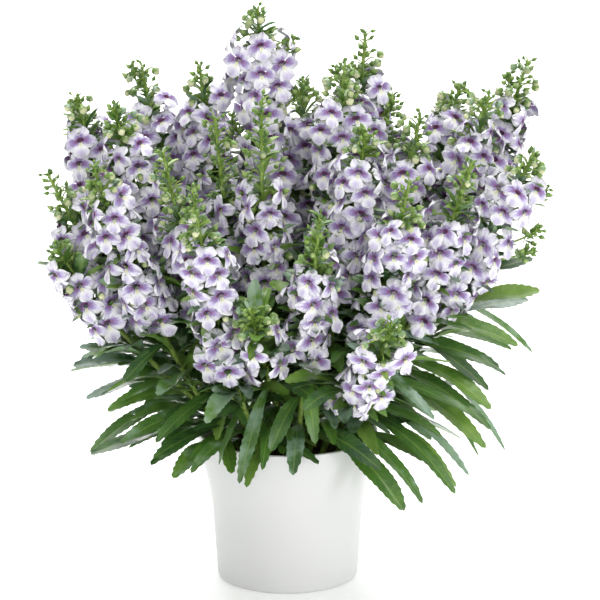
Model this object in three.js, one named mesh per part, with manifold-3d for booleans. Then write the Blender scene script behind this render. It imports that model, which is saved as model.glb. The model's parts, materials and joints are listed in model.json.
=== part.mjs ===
// A potted angelonia: a plain white pot of soil, from which leafy stems fan out and end in racemes
// of two-lipped, five-lobed flowers.
// Millimetres, +Z up. The origin is the centre of the pot's base, and -Y is the plant's front.
import * as THREE from 'three';
import { mergeVertices } from 'three/addons/utils/BufferGeometryUtils.js';
import Module from 'manifold-3d';

// The pot: a slight taper below, a trumpet mouth above, and a thin wall.
const POT_HEIGHT = 109;
const POT_BASE_RADIUS = 50.6;
const POT_TAPER = 0.07;
const POT_FLARE = 6.8;
const POT_FLARE_START = 50;
const POT_WALL = 2.4;
const POT_FLOOR = 3;
const POT_EDGE = 2.5;
const POT_SIDES = 32;

// The soil fills the pot to a little under its rim, mounded towards the middle.
const SOIL_EDGE = 91;
const SOIL_MOUND = 3;
const SOIL_LUMP = 1.1;
const SOIL_RINGS = [0.3, 0.62, 0.86];

// The gap kept between pieces that touch.
const SEAT = 0.3;

// Stems leave the soil close together, fan out, and straighten as they rise.
const FOOT_HEIGHT = 94;
const FOOT_SHARE = 0.27;
const FOOT_DEPTH = 22;
const FORK_HEIGHT = 132;
const STEM_RADIUS = 2.2;
const NECK_RADIUS = 1.7;
const AXIS_RADIUS = 1.6;
const STEM_TIP_RADIUS = 0.75;
const STEM_BEND = 8;
const SPREAD = 1.35;

// One row for each raceme: its tip's x, y and z, its length, the row of the stem that its own stem
// forks from, or -1 where it stands in the soil, and the length of its green head of buds.
const RACEMES = [
  [-21, 28, 417, 172, -1, 22],
  [56, 42, 396, 146, -1, 34],
  [-106, 70, 365, 138, -1, 28],
  [-63, 50, 369, 134, -1, 24],
  [-153, 35, 350, 140, -1, 20],
  [-124, -12, 355, 146, -1, 24],
  [-172, -10, 306, 108, 5, 32],
  [-137, -60, 324, 122, -1, 28],
  [-88, -50, 332, 128, -1, 56],
  [-52, -14, 348, 132, -1, 62],
  [-18, -45, 368, 144, -1, 70],
  [-66, -100, 317, 150, -1, 40],
  [41, 0, 384, 142, -1, 30],
  [56, -42, 345, 130, -1, 20],
  [77, 85, 340, 124, -1, 36],
  [125, 75, 349, 134, -1, 20],
  [145, 22, 355, 140, -1, 22],
  [174, 62, 371, 138, 16, 32],
  [176, -15, 322, 118, 19, 24],
  [131, -38, 321, 122, -1, 38],
  [86, -80, 318, 124, -1, 34],
  [23, -95, 297, 112, -1, 40],
  [74, -122, 226, 84, 20, 20],
  [95, 2, 345, 128, -1, 30],
  [12, 62, 356, 128, -1, 26],
  [30, 100, 330, 120, -1, 28],
  [-65, 105, 330, 120, -1, 26],
  [5, 142, 300, 108, 24, 24],
  [-105, 120, 305, 108, 26, 26],
  [62, 135, 300, 108, 25, 24],
  [115, 125, 305, 110, 14, 26],
  [-155, 85, 312, 112, 2, 26],
  [-27, -105, 232, 62, 10, 18],
  [-166, -34, 258, 66, 7, 14],
];

// A flower: its five lobes and the notches between them, by direction in degrees from the flower's
// right, reach, and how far they stand forward.
const LOBES = [
  [60, 11.2, 0],
  [90, 7.4, -0.6],
  [120, 11.2, 0],
  [155, 5.6, -0.8],
  [200, 13, 0],
  [238, 6, -0.8],
  [270, 14.4, 0.6],
  [302, 6, -0.8],
  [340, 13, 0],
  [25, 5.6, -0.8],
];
const THROAT_DEPTH = 2.2;
const FLOWER_REACH = 15.5;
const FLOWER_TURNS = [0, 12, -12, 24, -24];
const FLOWER_REACHES = [1, 0.88, 1.14];

// Flowers leave the axis in threes, and climb to an even winding.
const WHORL_SPACING = 25;
const WHORL_TURN = 52;
const WHORL_ROOT = 5;
const WHORL_RISE = -4;

// The green head of buds at a raceme's end: two whorls of buds at least, and more on a long head.
const HEAD_SPACING = 20;
const HEAD_ROOT = 3;
const BUD_RADIUS = 2.7;
const BUD_REACH = 5.2;
const BUD_RISE = 1.5;
const BUD_LENGTH = 1.5;
const FULL_HEAD = 26;

// Leaves: opposite pairs up each stem, longest at the bottom.
const LEAF_START = 114;
const LEAF_SPACING = 32;
const LEAFY_HEIGHT = 130;
const JOINT_GAP = 8;
const JOINT_HALF = 2.6;
const LEAF_LENGTH = 76;
const LEAF_WIDTH = 13;
const LEAF_THICKNESS = 1.3;
const LEAF_FOLD = 0.22;
const LEAF_STATIONS = [0.34, 0.68];
const TOOTHED_STATIONS = [0.34, 0.6, 0.65, 0.84];
const TOOTH = [1, 1.16, 0.84, 1.1];
const LEAF_SWINGS = [
  [0, 0],
  [10, 5],
  [-10, 5],
  [18, -6],
  [-18, -6],
  [0, 14],
  [26, 8],
  [-26, 8],
  [36, -4],
  [-36, -4],
];

// Large leaves that stand out of the plant: the row of their stem, their height on it, their tip's
// x, y and z, their width, how high they arch, and their roll in degrees.
const LARGE_LEAVES = [
  [7, 120, -141, -45, 104, 15, 10, -25],
  [6, 150, -144, -20, 129, 13, 12, -30],
  [7, 148, -137, -50, 150, 15, 10, -20],
  [4, 146, -156, 0, 143, 10, 14, -15],
  [6, 172, -149, 5, 161, 12, 8, -35],
  [4, 178, -143, 30, 175, 11, 6, -20],
  [8, 117, -105, -70, 108, 12, 14, -25],
  [11, 118, -76, -78, 98, 12, 18, -10],
  [11, 138, -56, -88, 106, 9, 12, 60],
  [32, 158, -46, -80, 102, 11, 10, 0],
  [32, 148, -30, -88, 87, 14, 26, 0],
  [10, 122, -18, -82, 90, 10, 24, -40],
  [21, 150, -16, -72, 111, 13, 10, -20],
  [21, 126, 4, -82, 100, 12, 14, 0],
  [21, 168, 20, -84, 124, 10, 6, 30],
  [21, 115, 68, -58, 95, 15, 16, 10],
  [20, 117, 90, -72, 67, 15, 30, 10],
  [19, 117, 116, -50, 72, 13, 30, 25],
  [19, 140, 128, -30, 75, 11, 30, 30],
  [18, 158, 138, -12, 92, 9, 22, 20],
  [18, 172, 157, -14, 97, 11, 20, 20],
  [19, 160, 150, -40, 120, 13, 18, 25],
  [16, 150, 160, 4, 124, 12, 22, 20],
  [19, 184, 144, -32, 148, 16, 14, 25],
  [20, 158, 132, -62, 138, 12, 18, 20],
  [16, 176, 158, 8, 147, 11, 14, 20],
  [17, 178, 166, 30, 151, 11, 10, 30],
  [17, 204, 178, 36, 156, 11, 16, 25],
  [18, 196, 182, 0, 206, 13, 4, 35],
  [20, 138, 105, -68, 116, 13, 16, 15],
  [20, 178, 104, -84, 142, 10, 8, 20],
  [7, 186, -116, -56, 162, 12, 4, -30],
  [8, 146, -108, -62, 130, 12, 14, -20],
  [5, 116, -114, -30, 104, 9, 14, -20],
];

// Room kept round the points that stand for a blade and for a stem, and their spacing on a blade.
const BLADE_ROOM = 2.4;
const PETAL_ROOM = 1.9;
const STEM_ROOM = 3;
const POINT_SPACING = 3.4;
const CELL = 6;
const SEED = 4171;

const COLOURS = {
  pot: 0xf1f2f3,
  soil: 0x3b2c22,
  leafy_stem: 0x4c6b28,
  raceme: 0xd6cdea,
};

const UP = new THREE.Vector3(0, 0, 1);
const vector = (x, y, z) => new THREE.Vector3(x, y, z);
const radians = (degrees) => (degrees * Math.PI) / 180;
const mix = (low, high, share) => low + (high - low) * share;

// Draws from 0 up to 1, the same ones on every run.
function seeded(seed) {
  let state = seed;
  return () => {
    state = (state * 1664525 + 1013904223) % 4294967296;
    return state / 4294967296;
  };
}

const draw = seeded(SEED);

function potRadius(z) {
  const share = Math.min(Math.max((z - POT_FLARE_START) / (POT_HEIGHT - POT_FLARE_START), 0), 1);
  return POT_BASE_RADIUS + POT_TAPER * z + POT_FLARE * share * share * (3 - 2 * share);
}

// The room that is taken, as points with a radius, sorted into cells.
const cells = new Map();
const cellKey = (x, y, z) => `${x},${y},${z}`;

function take(points) {
  for (const [at, room] of points) {
    const key = cellKey(Math.floor(at.x / CELL), Math.floor(at.y / CELL), Math.floor(at.z / CELL));
    if (!cells.has(key)) cells.set(key, []);
    cells.get(key).push([at, room]);
  }
}

function inPot(at, room) {
  const radius = Math.hypot(at.x, at.y);
  const outside = radius > potRadius(at.z) + room;
  const above = at.z > POT_HEIGHT + room;
  const inside = at.z > FOOT_HEIGHT + room && radius < potRadius(at.z) - POT_WALL - room;
  return !(outside || above || inside);
}

function isClear(points) {
  for (const [at, room] of points) {
    if (inPot(at, room)) return false;
    const x = Math.floor(at.x / CELL);
    const y = Math.floor(at.y / CELL);
    const z = Math.floor(at.z / CELL);
    for (let i = x - 1; i <= x + 1; i += 1) {
      for (let j = y - 1; j <= y + 1; j += 1) {
        for (let k = z - 1; k <= z + 1; k += 1) {
          for (const [other, otherRoom] of cells.get(cellKey(i, j, k)) ?? []) {
            if (at.distanceTo(other) < room + otherRoom) return false;
          }
        }
      }
    }
  }
  return true;
}

// Each raceme's row as a stem, with what it forks from, its bend and its raceme's foot.
const stems = RACEMES.map(([x, y, z, length, parent, head]) => ({
  tip: vector(x, y, z),
  length,
  parent,
  head,
  open: length - head,
  phase: draw() * 90,
  bend: (draw() - 0.5) * STEM_BEND,
  racemeFoot: z - length,
  whorls: Math.round((length - head) / WHORL_SPACING),
  headWhorls: Math.max(Math.round(head / HEAD_SPACING), 2),
}));

// The centre line of a stem at a height: it spreads quickly at first, and bends a little to one side.
function centre(stem, z) {
  const forked = stem.parent >= 0;
  const startHeight = forked ? FORK_HEIGHT : FOOT_HEIGHT;
  const start = forked
    ? centre(stems[stem.parent], FORK_HEIGHT)
    : vector(stem.tip.x * FOOT_SHARE, stem.tip.y * FOOT_SHARE, FOOT_HEIGHT);
  const share = Math.max((z - startHeight) / (stem.tip.z - startHeight), 0);
  const spread = SPREAD * share - (SPREAD - 1) * share * share;
  const sideways = stem.bend * Math.sin(Math.PI * share);
  const dx = stem.tip.x - start.x;
  const dy = stem.tip.y - start.y;
  const run = Math.hypot(dx, dy);
  return vector(
    start.x + dx * spread - (dy / run) * sideways,
    start.y + dy * spread + (dx / run) * sideways,
    z,
  );
}

// The directions along and across a stem at a height.
function frame(stem, z) {
  const at = centre(stem, z);
  const along = centre(stem, z + 1).sub(centre(stem, z - 1)).normalize();
  const phase = radians(stem.phase);
  const across = vector(Math.cos(phase), Math.sin(phase), 0);
  across.addScaledVector(along, -across.dot(along)).normalize();
  return { at, along, across, beside: vector(0, 0, 0).crossVectors(along, across) };
}

// The direction out of a stem, turned by an angle in degrees about it.
function outOf({ across, beside }, angle) {
  return across.clone().multiplyScalar(Math.cos(radians(angle)))
    .addScaledVector(beside, Math.sin(radians(angle)));
}

function stemRadius(stem, z) {
  const share = Math.min(Math.max((z - FOOT_HEIGHT) / (stem.racemeFoot - FOOT_HEIGHT), 0), 1);
  return mix(STEM_RADIUS, NECK_RADIUS, share);
}

function axisRadius(stem, z) {
  return mix(AXIS_RADIUS, STEM_TIP_RADIUS, (z - stem.racemeFoot) / stem.length);
}

// A place on a flower's face, by direction, reach, and how far it stands forward.
function onFlower(flower, angle, reach, forward) {
  return flower.face.clone()
    .addScaledVector(flower.right, Math.cos(radians(angle)) * reach * flower.size)
    .addScaledVector(flower.up, Math.sin(radians(angle)) * reach * flower.size)
    .addScaledVector(flower.out, forward * flower.size);
}

function flowerRoom(flower) {
  const middle = onFlower(flower, 0, 0, -THROAT_DEPTH);
  const points = [[middle, PETAL_ROOM], [flower.root.clone().lerp(middle, 0.7), PETAL_ROOM]];
  for (const [angle, reach, forward] of LOBES) {
    const corner = onFlower(flower, angle, reach, forward);
    for (const share of [0.5, 0.75, 1]) {
      points.push([middle.clone().lerp(corner, share), PETAL_ROOM]);
    }
    for (const share of [0.45, 0.72]) {
      points.push([flower.root.clone().lerp(corner, share), PETAL_ROOM]);
    }
  }
  return points;
}

// A flower that leaves a raceme's axis at an angle, and looks outwards and a little up.
function flowerAt(stem, z, angle, rise, reach, size, lift, roll) {
  const here = frame(stem, z);
  const away = outOf(here, angle);
  const root = here.at.clone().addScaledVector(away, axisRadius(stem, z) / 2);
  const face = here.at.clone().addScaledVector(away, FLOWER_REACH * reach * size)
    .addScaledVector(here.along, rise);
  const out = away.clone().multiplyScalar(Math.cos(radians(lift)))
    .addScaledVector(here.along, Math.sin(radians(lift)));
  const upright = here.along.clone().addScaledVector(out, -here.along.dot(out)).normalize();
  const level = vector(0, 0, 0).crossVectors(upright, out);
  const right = level.clone().multiplyScalar(Math.cos(radians(roll)))
    .addScaledVector(upright, Math.sin(radians(roll)));
  const up = vector(0, 0, 0).crossVectors(out, right);
  return { root, face, out, right, up, size };
}

// Open flowers stand round the raceme in threes, and each turns aside until it has room.
function placeFlowers(stem) {
  stem.blooms = [];
  for (let i = 0; i < stem.whorls * 3; i += 1) {
    const whorl = Math.floor(i / 3);
    const share = i / (stem.whorls * 3);
    const z = whorlHeight(stem, whorl);
    const angle = whorl * WHORL_TURN + 60 + (i % 3) * 120 + (draw() - 0.5) * 16;
    const rise = WHORL_RISE + ((i % 3) * stem.open) / (stem.whorls * 3);
    const size = mix(0.9, 1.04, draw()) - 0.12 * share;
    const lift = mix(0, 16, draw()) + 16 * share;
    const roll = mix(-14, 14, draw());
    let placed = null;
    for (const reach of FLOWER_REACHES) {
      for (const turn of FLOWER_TURNS) {
        const flower = flowerAt(stem, z, angle + turn, rise, reach, size, lift, roll);
        if (!placed && isClear(flowerRoom(flower))) placed = flower;
      }
    }
    if (placed) {
      take(flowerRoom(placed));
      stem.blooms.push({ ...placed, whorl, side: i % 3 });
    }
  }
}

function whorlHeight(stem, whorl) {
  return stem.racemeFoot + ((whorl + 0.3) * stem.open) / stem.whorls;
}

// The height of one of the head's whorls of buds.
function headHeight(stem, whorl) {
  return stem.tip.z - stem.head * (1 - (whorl + 0.2) / (stem.headWhorls + 0.5));
}

// Buds shrink and draw in towards the tip, three to each whorl of the head.
function placeBuds(stem) {
  stem.buds = [];
  for (let i = 0; i < stem.headWhorls * 3; i += 1) {
    const whorl = Math.floor(i / 3);
    const share = i / (stem.headWhorls * 3);
    const here = frame(stem, headHeight(stem, whorl));
    const away = outOf(here, (stem.whorls + whorl) * WHORL_TURN + 60 + (i % 3) * 120);
    const size = BUD_RADIUS * Math.min(stem.head / FULL_HEAD, 1) * (1 - 0.4 * share);
    const middle = here.at.clone().addScaledVector(away, BUD_REACH * (1 - 0.4 * share))
      .addScaledVector(here.along, BUD_RISE * (1 + (i % 3)));
    const out = away.clone().multiplyScalar(0.75).addScaledVector(here.along, 0.66);
    const tip = middle.clone().addScaledVector(out, size * BUD_LENGTH);
    const level = vector(0, 0, 0).crossVectors(here.along, out).normalize();
    take([[middle, size], [tip, PETAL_ROOM]]);
    stem.buds.push({ middle, out, level, size, tip, whorl, side: i % 3 });
  }
}

// A leaf's centre line arches from its root to its tip.
function leafPoint(leaf, t) {
  const bent = leaf.root.clone().lerp(leaf.tip, 0.42).addScaledVector(UP, leaf.arch);
  return leaf.root.clone().lerp(bent, t).lerp(bent.lerp(leaf.tip, t), t);
}

function leafFrame(leaf, t) {
  const along = leafPoint(leaf, t + 0.01).sub(leafPoint(leaf, t - 0.01)).normalize();
  const heading = leaf.tip.clone().sub(leaf.root).setZ(0).normalize();
  const level = vector(0, 0, 0).crossVectors(UP, heading);
  const face = vector(0, 0, 0).crossVectors(along, level);
  const roll = radians(leaf.roll) * t;
  const side = level.multiplyScalar(Math.cos(roll)).addScaledVector(face, Math.sin(roll));
  return { at: leafPoint(leaf, t), side, face: vector(0, 0, 0).crossVectors(along, side) };
}

// A blade is widest beyond its middle, and comes to a short point.
const outline = (t) => t * (1 - t) ** 0.7;

function leafHalfWidth(leaf, t) {
  return (0.5 * leaf.width * outline(t)) / outline(1 / 1.7);
}

function leafRoom(leaf) {
  const steps = Math.ceil(leaf.root.distanceTo(leaf.tip) / POINT_SPACING);
  const points = [];
  for (let i = 2; i <= steps; i += 1) {
    const t = i / steps;
    const { at, side, face } = leafFrame(leaf, t);
    const half = leafHalfWidth(leaf, t);
    for (const share of [-1, -0.35, 0.35, 1]) {
      const point = at.clone().addScaledVector(side, share * half)
        .addScaledVector(face, Math.abs(share) * half * LEAF_FOLD);
      points.push([point, BLADE_ROOM]);
    }
  }
  return points;
}

// The side of a four-cornered stem that looks most nearly in a direction.
function sideTowards(stem, z, direction) {
  const here = frame(stem, z);
  const angle = Math.atan2(direction.dot(here.beside), direction.dot(here.across));
  return (Math.round((angle * 2) / Math.PI - 0.5) + 8) % 4;
}

function leafFrom(stem, z, tip, width, arch, roll, toothed) {
  const at = centre(stem, z);
  const away = tip.clone().sub(at).setZ(0).normalize();
  return { stem, z, root: at.addScaledVector(away, stemRadius(stem, z)), tip, width, arch, roll, toothed };
}

// A leaf swings aside, or lifts, until it has room, and otherwise is left out.
function placeLeaf(stem, z, tip, width, arch, roll, toothed) {
  const at = centre(stem, z);
  for (const [turn, lift] of LEAF_SWINGS) {
    const swung = tip.clone().sub(at).applyAxisAngle(UP, radians(turn)).add(at);
    swung.z += lift;
    const leaf = leafFrom(stem, z, swung, width, arch, roll, toothed);
    leaf.side = sideTowards(stem, z, swung.clone().sub(at));
    const used = stem.leaves.some((other) => other.z === z && other.side === leaf.side);
    if (!used && isClear(leafRoom(leaf))) {
      take(leafRoom(leaf));
      stem.leaves.push(leaf);
      return;
    }
  }
}

// Opposite pairs, each a quarter turn from the last, droop more the lower they stand.
function placePairs(stem, index) {
  const first = stem.parent >= 0 ? forkStart(stem) + 6 : LEAF_START;
  const joints = stem.leaves.map((leaf) => leaf.z);
  const forked = stems.some((other) => stems[other.parent] === stem);
  if (forked) joints.push(FORK_HEIGHT, FORK_HEIGHT + JOINT_GAP);
  let pair = 0;
  for (let z = first + (index % 4) * 4; z < stem.racemeFoot - 6; z += LEAF_SPACING) {
    while (joints.some((joint) => Math.abs(joint - z) < JOINT_GAP)) z += 2;
    const share = (z - LEAF_START) / LEAFY_HEIGHT;
    for (const half of [0, 180]) {
      const heading = radians(stem.phase + 45 + pair * 90 + half + (draw() - 0.5) * 30);
      const length = LEAF_LENGTH * mix(1, 0.68, share) * mix(0.85, 1.12, draw());
      const slope = radians(mix(mix(-30, 12, share), mix(5, 40, share), draw()));
      const arch = length * mix(0.16, 0.34, draw());
      const roll = mix(-30, 30, draw());
      const tip = centre(stem, z).add(vector(
        Math.cos(heading) * Math.cos(slope) * length,
        Math.sin(heading) * Math.cos(slope) * length,
        Math.sin(slope) * length,
      ));
      placeLeaf(stem, z, tip, (LEAF_WIDTH * length) / LEAF_LENGTH, arch, roll, false);
    }
    pair += 1;
  }
}

for (const stem of stems) {
  stem.leaves = [];
  const points = [];
  const foot = stem.parent >= 0 ? FORK_HEIGHT : FOOT_HEIGHT;
  for (let z = foot; z < stem.tip.z; z += 3) points.push([centre(stem, z), STEM_ROOM]);
  take(points);
}
for (const stem of stems) placeBuds(stem);
for (const [row, z, x, y, height, width, arch, roll] of LARGE_LEAVES) {
  placeLeaf(stems[row], z, vector(x, y, height), width, arch, roll, true);
}
for (const stem of stems) placeFlowers(stem);
stems.forEach(placePairs);

// How many corners a ring is turned by to lie nearest to the loop that it is joined to.
function leastTurn(loop, points) {
  const gap = (turn) => loop.reduce((sum, corner, i) => (
    sum + corner.distanceTo(points[(i + turn) % points.length])), 0);
  return points.reduce((best, _, turn) => (gap(turn) < gap(best) ? turn : best), 0);
}

// A closed mesh that is grown ring by ring. Rings run anticlockwise as seen from their far end.
class Growth {
  constructor() {
    this.points = [];
    this.faces = [];
  }

  ring(points) {
    return points.map((point) => this.points.push(point) - 1);
  }

  skin(low, high) {
    low.forEach((corner, i) => {
      const next = (i + 1) % low.length;
      this.faces.push([corner, low[next], high[i]], [low[next], high[next], high[i]]);
    });
  }

  // Skins from a loop to the ring beyond it, turned so that their nearest corners meet.
  join(loop, ring) {
    const turn = leastTurn(loop.map((i) => this.points[i]), ring.map((i) => this.points[i]));
    this.skin(loop, ring.map((_, i) => ring[(i + turn) % ring.length]));
  }

  close(ring, apex) {
    const top = this.points.push(apex) - 1;
    ring.forEach((corner, i) => this.faces.push([corner, ring[(i + 1) % ring.length], top]));
  }

  mesh(name, material) {
    const geometry = new THREE.BufferGeometry();
    const places = this.points.flatMap((point) => point.toArray());
    geometry.setAttribute('position', new THREE.Float32BufferAttribute(places, 3));
    geometry.setIndex(this.faces.flat());
    const flat = geometry.toNonIndexed();
    flat.computeVertexNormals();
    const made = new THREE.Mesh(flat, material);
    made.name = name;
    return made;
  }
}

// A ring of corners round a stem, at the angles of its phase.
function ringRound(stem, z, radius, corners, turn) {
  const here = frame(stem, z);
  return Array.from({ length: corners }, (_, i) => (
    here.at.clone().addScaledVector(outOf(here, turn + (i * 360) / corners), radius)
  ));
}

// A leaf grows from the four corners of its stem's side: its ribbed blade is split alike on both faces.
function growLeaf(growth, leaf, loop) {
  const stations = leaf.toothed ? TOOTHED_STATIONS : LEAF_STATIONS;
  let last = loop;
  let turn = null;
  stations.forEach((t, i) => {
    const { at, side, face } = leafFrame(leaf, t);
    const half = leafHalfWidth(leaf, t) * (leaf.toothed ? TOOTH[i] : 1);
    const edge = (share) => at.clone().addScaledVector(side, share * half)
      .addScaledVector(face, half * LEAF_FOLD);
    const section = [
      at.clone().addScaledVector(face, -LEAF_THICKNESS / 2),
      edge(1),
      at.clone().addScaledVector(face, LEAF_THICKNESS / 2),
      edge(-1),
    ];
    turn ??= leastTurn(loop.map((corner) => growth.points[corner]), section);
    const ring = growth.ring(section.map((_, k) => section[(k + turn) % 4]));
    for (let a = 0; a < 4; a += 1) {
      const b = (a + 1) % 4;
      if ((a + turn) % 2) growth.faces.push([last[a], last[b], ring[b]], [last[a], ring[b], ring[a]]);
      else growth.faces.push([last[a], last[b], ring[a]], [last[b], ring[b], ring[a]]);
    }
    last = ring;
  });
  growth.close(last, leaf.tip);
}

// A flower widens from a triangle of the axis, whose corners look down to the left, down to the
// right and up as seen from outside, to its lobes, and is hollow in front as far as its throat.
function growFlower(growth, flower, loop) {
  const rim = growth.ring(LOBES.map((lobe) => onFlower(flower, ...lobe)));
  const cornerOf = ([angle]) => {
    if (angle > 180 && angle < 270) return loop[0];
    return angle >= 270 || angle < 45 ? loop[1] : loop[2];
  };
  rim.forEach((corner, i) => {
    const next = (i + 1) % rim.length;
    const low = cornerOf(LOBES[i]);
    const beside = cornerOf(LOBES[next]);
    growth.faces.push([low, rim[next], corner]);
    if (low !== beside) growth.faces.push([low, beside, rim[next]]);
  });
  growth.close(rim, onFlower(flower, 0, 0, -THROAT_DEPTH));
}

function growBud(growth, bud, loop) {
  const face = vector(0, 0, 0).crossVectors(bud.out, bud.level).normalize();
  const corners = [90, 210, 330].map((angle) => bud.middle.clone()
    .addScaledVector(bud.level, Math.cos(radians(angle)) * bud.size)
    .addScaledVector(face, Math.sin(radians(angle)) * bud.size));
  const ring = growth.ring(corners);
  growth.join(loop, ring);
  growth.close(ring, bud.tip);
}

// Skins a stem's rings, and lets each shoot grow from its own side of its own span.
function growSpans(growth, rings, shoots) {
  for (let k = 0; k < rings.length - 1; k += 1) {
    const low = rings[k];
    const high = rings[k + 1];
    low.forEach((corner, side) => {
      const next = (side + 1) % low.length;
      const shoot = shoots.find((item) => item.span === k && item.side === side);
      if (!shoot) growth.faces.push([corner, low[next], high[next]]);
      if (!shoot || shoot.corners === 3) growth.faces.push([corner, high[next], high[side]]);
      if (!shoot) return;
      const loop = [corner, low[next], high[next], high[side]].slice(0, shoot.corners);
      shoot.grow(growth, loop);
    });
  }
}

// The height at which a forked stem is clear of the one that it leaves.
function forkStart(stem) {
  let z = FORK_HEIGHT + 4;
  while (centre(stem, z).distanceTo(centre(stems[stem.parent], z)) < 3 * STEM_RADIUS) z += 1;
  return z;
}

// A leafy stem, with the stem that forks from it, if one does.
function growStem(growth, stem, loop) {
  const forks = stems.filter((other) => stems[other.parent] === stem);
  const heights = new Set(stem.leaves.map((leaf) => leaf.z));
  forks.forEach(() => heights.add(FORK_HEIGHT));
  const joints = [...heights].sort((a, b) => a - b);
  const start = stem.parent >= 0 ? forkStart(stem) : FOOT_HEIGHT - FOOT_DEPTH;
  const levels = [start];
  const shoots = [];
  if (stem.parent < 0) levels.push(FOOT_HEIGHT);
  for (const z of joints) {
    levels.push(z - JOINT_HALF, z + JOINT_HALF);
    const span = levels.length - 2;
    for (const leaf of stem.leaves.filter((item) => item.z === z)) {
      shoots.push({ span, side: leaf.side, corners: 4, grow: (g, corners) => growLeaf(g, leaf, corners) });
    }
    if (z === FORK_HEIGHT) {
      for (const fork of forks) {
        const direction = centre(fork, FORK_HEIGHT + 20).sub(centre(stem, FORK_HEIGHT + 20)).setZ(0);
        const side = sideTowards(stem, z, direction);
        shoots.push({ span, side, corners: 4, grow: (g, corners) => growStem(g, fork, corners) });
      }
    }
  }
  levels.push(stem.racemeFoot - SEAT / 2);
  const rings = levels.map((z) => growth.ring(ringRound(stem, z, stemRadius(stem, z), 4, 0)));
  if (loop) growth.join(loop, rings[0]);
  else growth.close([...rings[0]].reverse(), centre(stem, start));
  growSpans(growth, rings, shoots);
  growth.close(rings.at(-1), centre(stem, levels.at(-1)));
}

// A raceme: its slim axis, with whorls of open flowers and, at its head, of buds. The axis turns
// from whorl to whorl.
function growRaceme(growth, stem) {
  const levels = [[stem.racemeFoot + SEAT / 2, 0]];
  const shoots = [];
  const addWhorl = (z, root, turn, items, grow) => {
    levels.push([z - root / 2, turn], [z + root / 2, turn]);
    for (const item of items) {
      shoots.push({ span: levels.length - 2, side: item.side, corners: 3, grow: grow(item) });
    }
  };
  for (let whorl = 0; whorl < stem.whorls; whorl += 1) {
    const flowers = stem.blooms.filter((item) => item.whorl === whorl);
    addWhorl(whorlHeight(stem, whorl), WHORL_ROOT, whorl * WHORL_TURN, flowers, (flower) => (
      (growing, corners) => growFlower(growing, flower, corners)));
  }
  for (let whorl = 0; whorl < stem.headWhorls; whorl += 1) {
    const buds = stem.buds.filter((item) => item.whorl === whorl);
    const turn = (stem.whorls + whorl) * WHORL_TURN;
    addWhorl(headHeight(stem, whorl), HEAD_ROOT, turn, buds, (bud) => (
      (growing, corners) => growBud(growing, bud, corners)));
  }
  const rings = levels.map(([z, turn]) => (
    growth.ring(ringRound(stem, z, axisRadius(stem, z), 3, turn))));
  growth.close([...rings[0]].reverse(), centre(stem, levels[0][0]));
  growSpans(growth, rings, shoots);
  growth.close(rings.at(-1), stem.tip);
}

const wasm = await Module();
wasm.setup();

function solidOf(geometry) {
  const bare = geometry.clone();
  bare.deleteAttribute('normal');
  bare.deleteAttribute('uv');
  const merged = mergeVertices(bare, 1e-4);
  return new wasm.Manifold(new wasm.Mesh({
    numProp: 3,
    vertProperties: merged.attributes.position.array,
    triVerts: new Uint32Array(merged.index.array),
  }));
}

function meshOf(solid, name, material) {
  const made = solid.getMesh();
  const geometry = new THREE.BufferGeometry();
  geometry.setAttribute('position', new THREE.BufferAttribute(made.vertProperties, 3));
  geometry.setIndex(new THREE.BufferAttribute(made.triVerts, 1));
  geometry.computeVertexNormals();
  const mesh = new THREE.Mesh(geometry, material);
  mesh.name = name;
  return mesh;
}

// A profile of radius and height turned about the pot's axis, which is upright.
function turned(profile) {
  const points = profile.map(([radius, z]) => new THREE.Vector2(radius, z));
  return new THREE.LatheGeometry(points, POT_SIDES).rotateX(Math.PI / 2);
}

function makePot(material) {
  const inner = (z) => potRadius(z) - POT_WALL;
  const outerHeights = [POT_EDGE, POT_FLARE_START, 66, 82, 96, POT_HEIGHT - 1.2];
  const innerHeights = [POT_HEIGHT - 1.2, 96, 82, 66, POT_FLARE_START, POT_FLOOR];
  const profile = [
    [0, 0],
    [POT_BASE_RADIUS - POT_EDGE, 0],
    ...outerHeights.map((z) => [potRadius(z), z]),
    [potRadius(POT_HEIGHT) - POT_WALL / 2, POT_HEIGHT],
    ...innerHeights.map((z) => [inner(z), z]),
    [0, POT_FLOOR],
  ];
  const mesh = new THREE.Mesh(turned(profile), material);
  mesh.name = 'pot';
  return mesh;
}

// The soil's lumpy top is its own formula, and each stem stands in a plain hole.
function soilHeight(x, y) {
  const reach = Math.hypot(x, y) / potRadius(SOIL_EDGE);
  const lumps = Math.sin(x * 0.31 + 1.3) * Math.cos(y * 0.27 - 0.6) + Math.sin((x + y) * 0.19);
  return SOIL_EDGE + SOIL_MOUND * (1 - reach * reach) + SOIL_LUMP * lumps * (1 - reach ** 4);
}

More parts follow.
